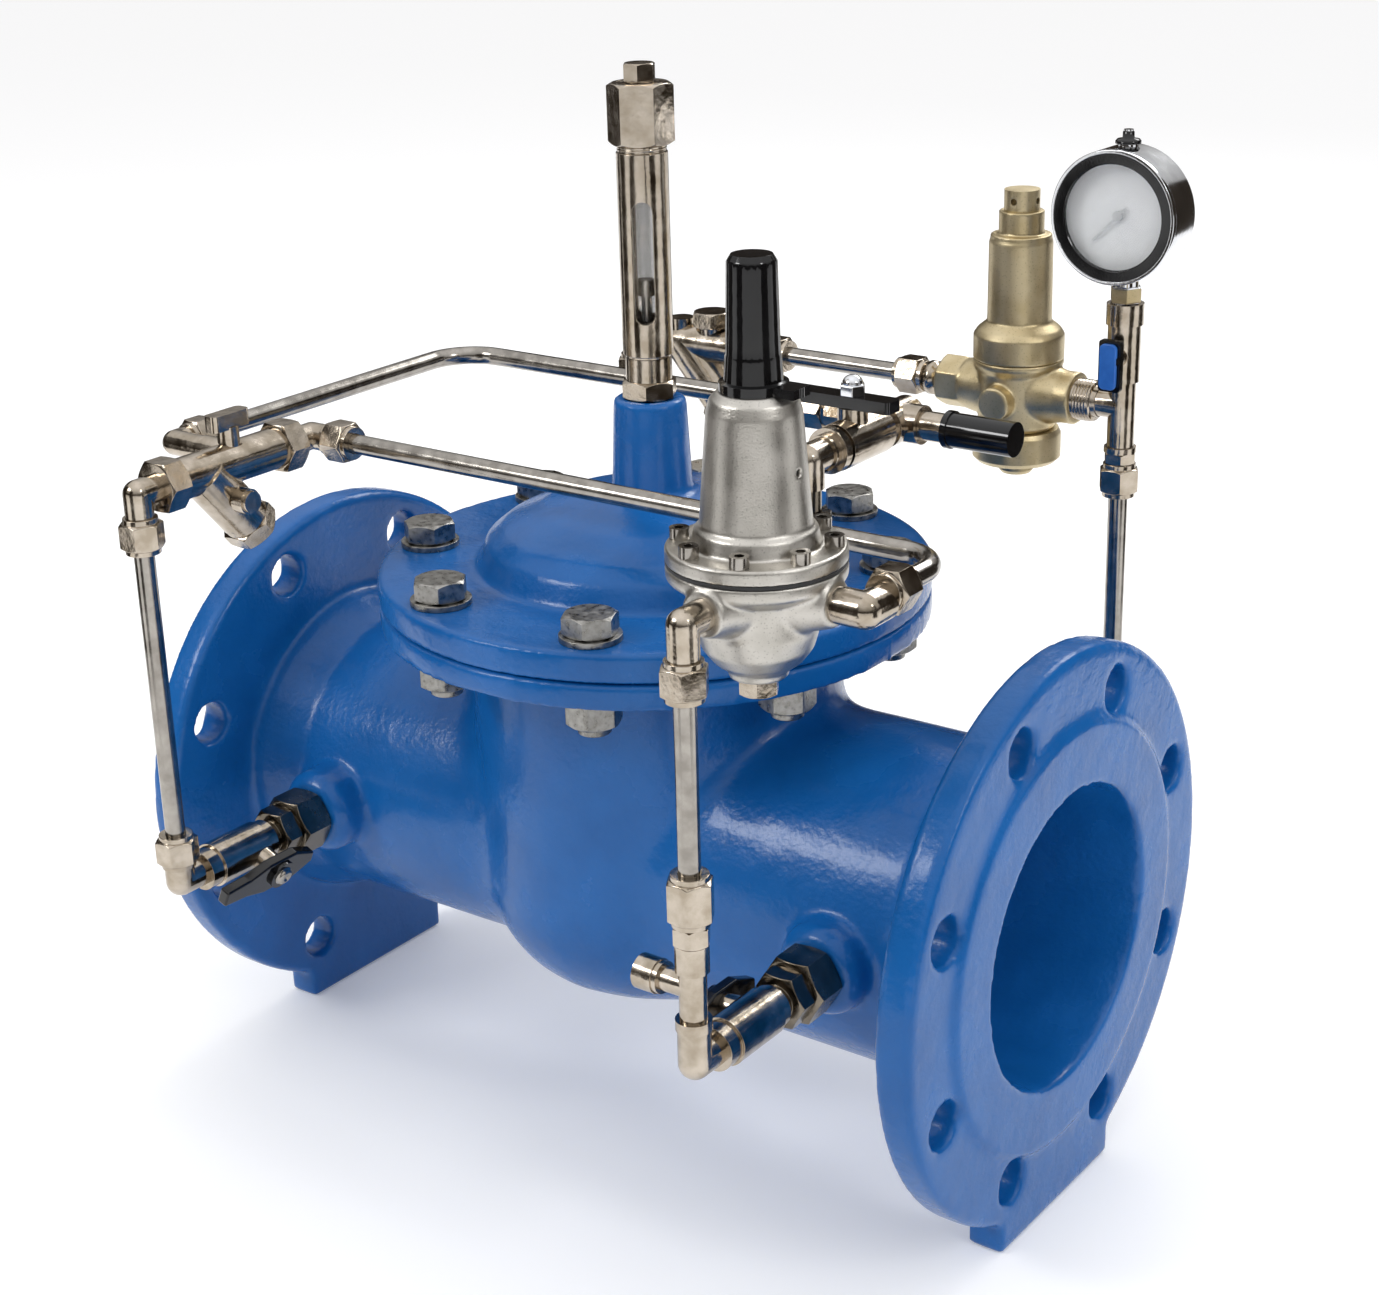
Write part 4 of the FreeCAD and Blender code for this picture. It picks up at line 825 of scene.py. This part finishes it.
@dataclass(frozen=True)
class HandleScrew:
    """Screw that holds a handle on its spindle."""

    name: str
    joint: str
    body: str
    node: str
    radius: float = 4.6 * MM

    def build(self, palette: Palette) -> None:
        """Makes a domed head with a round recess, on a thin washer."""
        point, axis = joint_line(self.joint)
        mesh = frame["nodes"][self.node].data
        reach = max((vertex.co - point).dot(axis) for vertex in mesh.vertices)
        seat = point + axis * (reach - 0.2 * MM)
        r = self.radius
        head = lathe(self.name, seat, axis, [
            (r * 1.15, 0), (r * 1.15, 0.5 * MM), (r * 0.98, 0.6 * MM), (r * 0.98, 1.6 * MM), (r * 0.9, 2.3 * MM),
            (r * 0.7, 2.8 * MM), (r * 0.42, 3.05 * MM), (r * 0.36, 1.9 * MM), (r * 0.1, 1.6 * MM),
        ], 32)
        place(head, self.body, Slot.STAINLESS, palette)


# ---- studio -------------------------------------------------------------------------------------
@dataclass(frozen=True)
class Studio:
    """Pale floor, far wall, dark cards, soft lights and the camera."""

    eye: Vector = field(default_factory=lambda: Vector((0.93897, -0.91425, 0.53735)))
    yaw: float = 0.6387
    pitch: float = 0.3648
    roll: float = -0.0278
    lens: float = 62.56
    lamp_aim: Vector = field(default_factory=lambda: Vector((0.24, 0, 0.1)))
    floor_size: float = 60.0
    wall_radius: float = 29.0
    wall_height: float = 40.0
    wall_glow: float = 0.95
    card_centre: tuple[float, float] = (0.24, 0.0)
    card_distance: float = 0.95
    card_height: float = 0.85
    card_bearings: tuple[tuple[float, float], ...] = (
        (-8.0, 26.0), (-100.0, 24.0), (-152.0, 30.0), (48.0, 30.0), (120.0, 34.0), (178.0, 22.0),
    )

    def camera(self) -> None:
        """Places the camera."""
        back = Vector((math.sin(self.yaw) * math.cos(self.pitch), -math.cos(self.yaw) * math.cos(self.pitch),
                       math.sin(self.pitch)))
        right = Vector((math.cos(self.yaw), math.sin(self.yaw), 0))
        up = back.cross(right)
        side = math.cos(self.roll) * right + math.sin(self.roll) * up
        top = -math.sin(self.roll) * right + math.cos(self.roll) * up
        data = bpy.data.cameras.new("camera")
        data.lens = self.lens
        data.sensor_width = 36.0
        data.sensor_fit = "HORIZONTAL"
        view = bpy.data.objects.new("camera", data)
        view.matrix_world = Matrix.Translation(self.eye) @ Matrix((side, top, back)).transposed().to_4x4()
        bpy.context.scene.collection.objects.link(view)
        bpy.context.scene.camera = view

    def floor(self) -> None:
        """Lays a plain pale floor under the feet."""
        half = self.floor_size / 2
        low = CAD_BOX[0][2] - 0.2 * MM
        corners = [(-half, -half, low), (half, -half, low), (half, half, low), (-half, half, low)]
        ground = new_piece("floor", [Vector(c) for c in corners], [(0, 1, 2, 3)])
        paint = bpy.data.materials.new("floor_paint")
        paint.use_nodes = True
        nodes = paint.node_tree.nodes
        shader = nodes["Principled BSDF"]
        shader.inputs["Roughness"].default_value = 0.6
        shader.inputs["Specular IOR Level"].default_value = 0.2
        tint = nodes.new("ShaderNodeTexNoise")
        tint.inputs["Scale"].default_value = 0.5
        ramp = nodes.new("ShaderNodeValToRGB")
        ramp.color_ramp.elements[0].color = (0.90, 0.90, 0.90, 1)
        ramp.color_ramp.elements[1].color = (0.93, 0.93, 0.93, 1)
        paint.node_tree.links.new(tint.outputs["Fac"], ramp.inputs["Fac"])
        paint.node_tree.links.new(ramp.outputs["Color"], shader.inputs["Base Color"])
        shader.inputs["Emission Color"].default_value = (1, 1, 1, 1)
        shader.inputs["Emission Strength"].default_value = 0.14
        ground.data.materials.append(paint)

    def cards(self) -> None:
        """Stands dark cards round the valve, which only show as dark bands in its bright metal."""
        paint = bpy.data.materials.new("card_paint")
        paint.use_nodes = True
        shader = paint.node_tree.nodes["Principled BSDF"]
        shader.inputs["Base Color"].default_value = (0.035, 0.028, 0.022, 1)
        shader.inputs["Roughness"].default_value = 0.9
        shader.inputs["Specular IOR Level"].default_value = 0.0
        low = CAD_BOX[0][2]
        for index, (bearing, spread) in enumerate(self.card_bearings):
            corners = []
            for side in (-0.5, 0.5):
                angle = math.radians(bearing + side * spread)
                x = self.card_centre[0] + self.card_distance * math.cos(angle)
                y = self.card_centre[1] + self.card_distance * math.sin(angle)
                corners += [Vector((x, y, low)), Vector((x, y, low + self.card_height))]
            card = new_piece(f"dark_card_{index}", corners, [(0, 2, 3, 1)])
            card.data.materials.append(paint)
            card.visible_camera = False
            card.visible_diffuse = False
            card.visible_shadow = False

    def backdrop(self) -> None:
        """Stands a pale wall far behind the valve, where the floor ends."""
        paint = bpy.data.materials.new("wall_paint")
        paint.use_nodes = True
        shader = paint.node_tree.nodes["Principled BSDF"]
        shader.inputs["Base Color"].default_value = (0, 0, 0, 1)
        shader.inputs["Specular IOR Level"].default_value = 0.0
        shader.inputs["Emission Color"].default_value = (1, 1, 1, 1)
        shader.inputs["Emission Strength"].default_value = self.wall_glow
        verts, faces = [], []
        count = 48
        low = CAD_BOX[0][2] - 1.0
        for step in range(count):
            angle = 2 * math.pi * step / count
            x, y = self.wall_radius * math.cos(angle), self.wall_radius * math.sin(angle)
            verts += [Vector((x, y, low)), Vector((x, y, low + self.wall_height))]
            after = (2 * step + 2) % (2 * count)
            faces.append((2 * step, after, after + 1, 2 * step + 1))
        wall = new_piece("backdrop", verts, faces)
        wall.data.materials.append(paint)
        wall.visible_diffuse = False
        wall.visible_glossy = False
        wall.visible_shadow = False

    def sky(self) -> None:
        """Lights the room: bright ceiling, darker warm walls."""
        world = bpy.data.worlds.new("room")
        world.use_nodes = True
        nodes = world.node_tree.nodes
        link = world.node_tree.links.new
        where = nodes.new("ShaderNodeTexCoord")
        split = nodes.new("ShaderNodeSeparateXYZ")
        ramp = nodes.new("ShaderNodeValToRGB")
        stops = ((0.0, (0.05, 0.043, 0.036)), (0.16, (0.09, 0.08, 0.07)), (0.30, (0.55, 0.54, 0.53)),
                 (0.55, (0.95, 0.95, 0.95)), (1.0, (1.5, 1.5, 1.52)))
        elements = ramp.color_ramp.elements
        while len(elements) < len(stops):
            elements.new(0.5)
        for element, (position, colour) in zip(elements, stops):
            element.position = position
            element.color = (*colour, 1)
        link(where.outputs["Generated"], split.inputs["Vector"])
        link(split.outputs["Z"], ramp.inputs["Fac"])
        link(ramp.outputs["Color"], nodes["Background"].inputs["Color"])
        nodes["Background"].inputs["Strength"].default_value = 0.85
        bpy.context.scene.world = world

    def lamp(self, name: str, place_at: Point, size: tuple[float, float], power: float) -> None:
        """Hangs a soft box that faces the valve.

        Args:
            name: Name of the light.
            place_at: Where it hangs.
            size: Width and height.
            power: Power in watts.
        """
        data = bpy.data.lights.new(name, "AREA")
        data.shape = "RECTANGLE"
        data.size, data.size_y = size
        data.energy = power
        lamp = bpy.data.objects.new(name, data)
        aim = self.lamp_aim - Vector(place_at)
        lamp.location = place_at
        lamp.rotation_euler = aim.to_track_quat("-Z", "Y").to_euler()
        bpy.context.scene.collection.objects.link(lamp)

    def build(self) -> None:
        """Sets the whole studio up."""
        self.camera()
        self.floor()
        self.backdrop()
        self.cards()
        self.sky()
        self.lamp("key_box", (-0.9, -1.7, 1.5), (0.8, 0.5), 17.0)
        self.lamp("side_box", (2.3, -0.3, 1.3), (0.3, 1.1), 12.0)
        self.lamp("back_box", (0.2, 1.9, 1.6), (1.4, 0.5), 16.0)
        bpy.context.scene.view_settings.view_transform = "Standard"


NODE_SLOTS = {
    Slot.STAINLESS: ("seat_ring", "stem", "valve_disc", "diaphragm_plates", "stem_nut", "indicator_rod",
                     "pilot_screws", "pilot_adjusting_screw", "pilot_plug", "riser_tubes", "supply_tube",
                     "control_tube"),
    Slot.NICKEL: ("sight_base_nut", "sight_housing", "sight_cap_nut", "sight_vent_plug", "pilot_bottom_plug",
                  "elbow_fittings", "compression_nuts", "tee_fittings", "isolating_valve_bodies",
                  "gauge_valve_body", "control_valve_body", "needle_valve_body", "strainer_bodies",
                  "strainer_caps", "strainer_key", "inlet_valve_ball", "outlet_valve_ball", "gauge_valve_ball",
                  "control_valve_ball"),
    Slot.DARK_NICKEL: ("boss_adapters",),
    Slot.BRASS: ("reducer_bottom_cap", "reducer_spindle"),
    Slot.BLACK: ("pilot_cap", "inlet_valve_handle", "outlet_valve_handle", "control_valve_lever",
                 "needle_valve_knob", "gauge_valve_lever"),
    Slot.RUBBER: ("disc_seal", "diaphragm", "pilot_diaphragm"),
    Slot.SPRING: ("main_spring", "setting_springs"),
    Slot.GLASS: ("sight_glass", "gauge_window"),
    Slot.DIAL: ("gauge_dial",),
    Slot.POINTER: ("gauge_pointer",),
    Slot.CHROME: ("gauge_case",),
}


def main() -> None:
    """Builds the studio and every sub-assembly in order."""
    logging.basicConfig(level=logging.INFO, format="%(message)s")
    palette = Palette(FINISHES)
    Studio().build()
    for slot, names in NODE_SLOTS.items():
        for name in names:
            palette.dress_node(name, slot)
    valve = MainValve()
    valve.build(palette)
    valve.dress(palette)
    SightGauge().build(palette)
    Pilot().build(palette)
    Reducer().build(palette)
    Manometer().build(palette)
    Fittings().build(palette)
    DomeNut().build(palette)
    HandleScrew("inlet_handle_screw", "inlet_valve_turn", "inlet_valve", "inlet_valve_handle").build(palette)
    HandleScrew("outlet_handle_screw", "outlet_valve_turn", "outlet_valve", "outlet_valve_handle").build(palette)


if __name__ == "__main__":
    main()
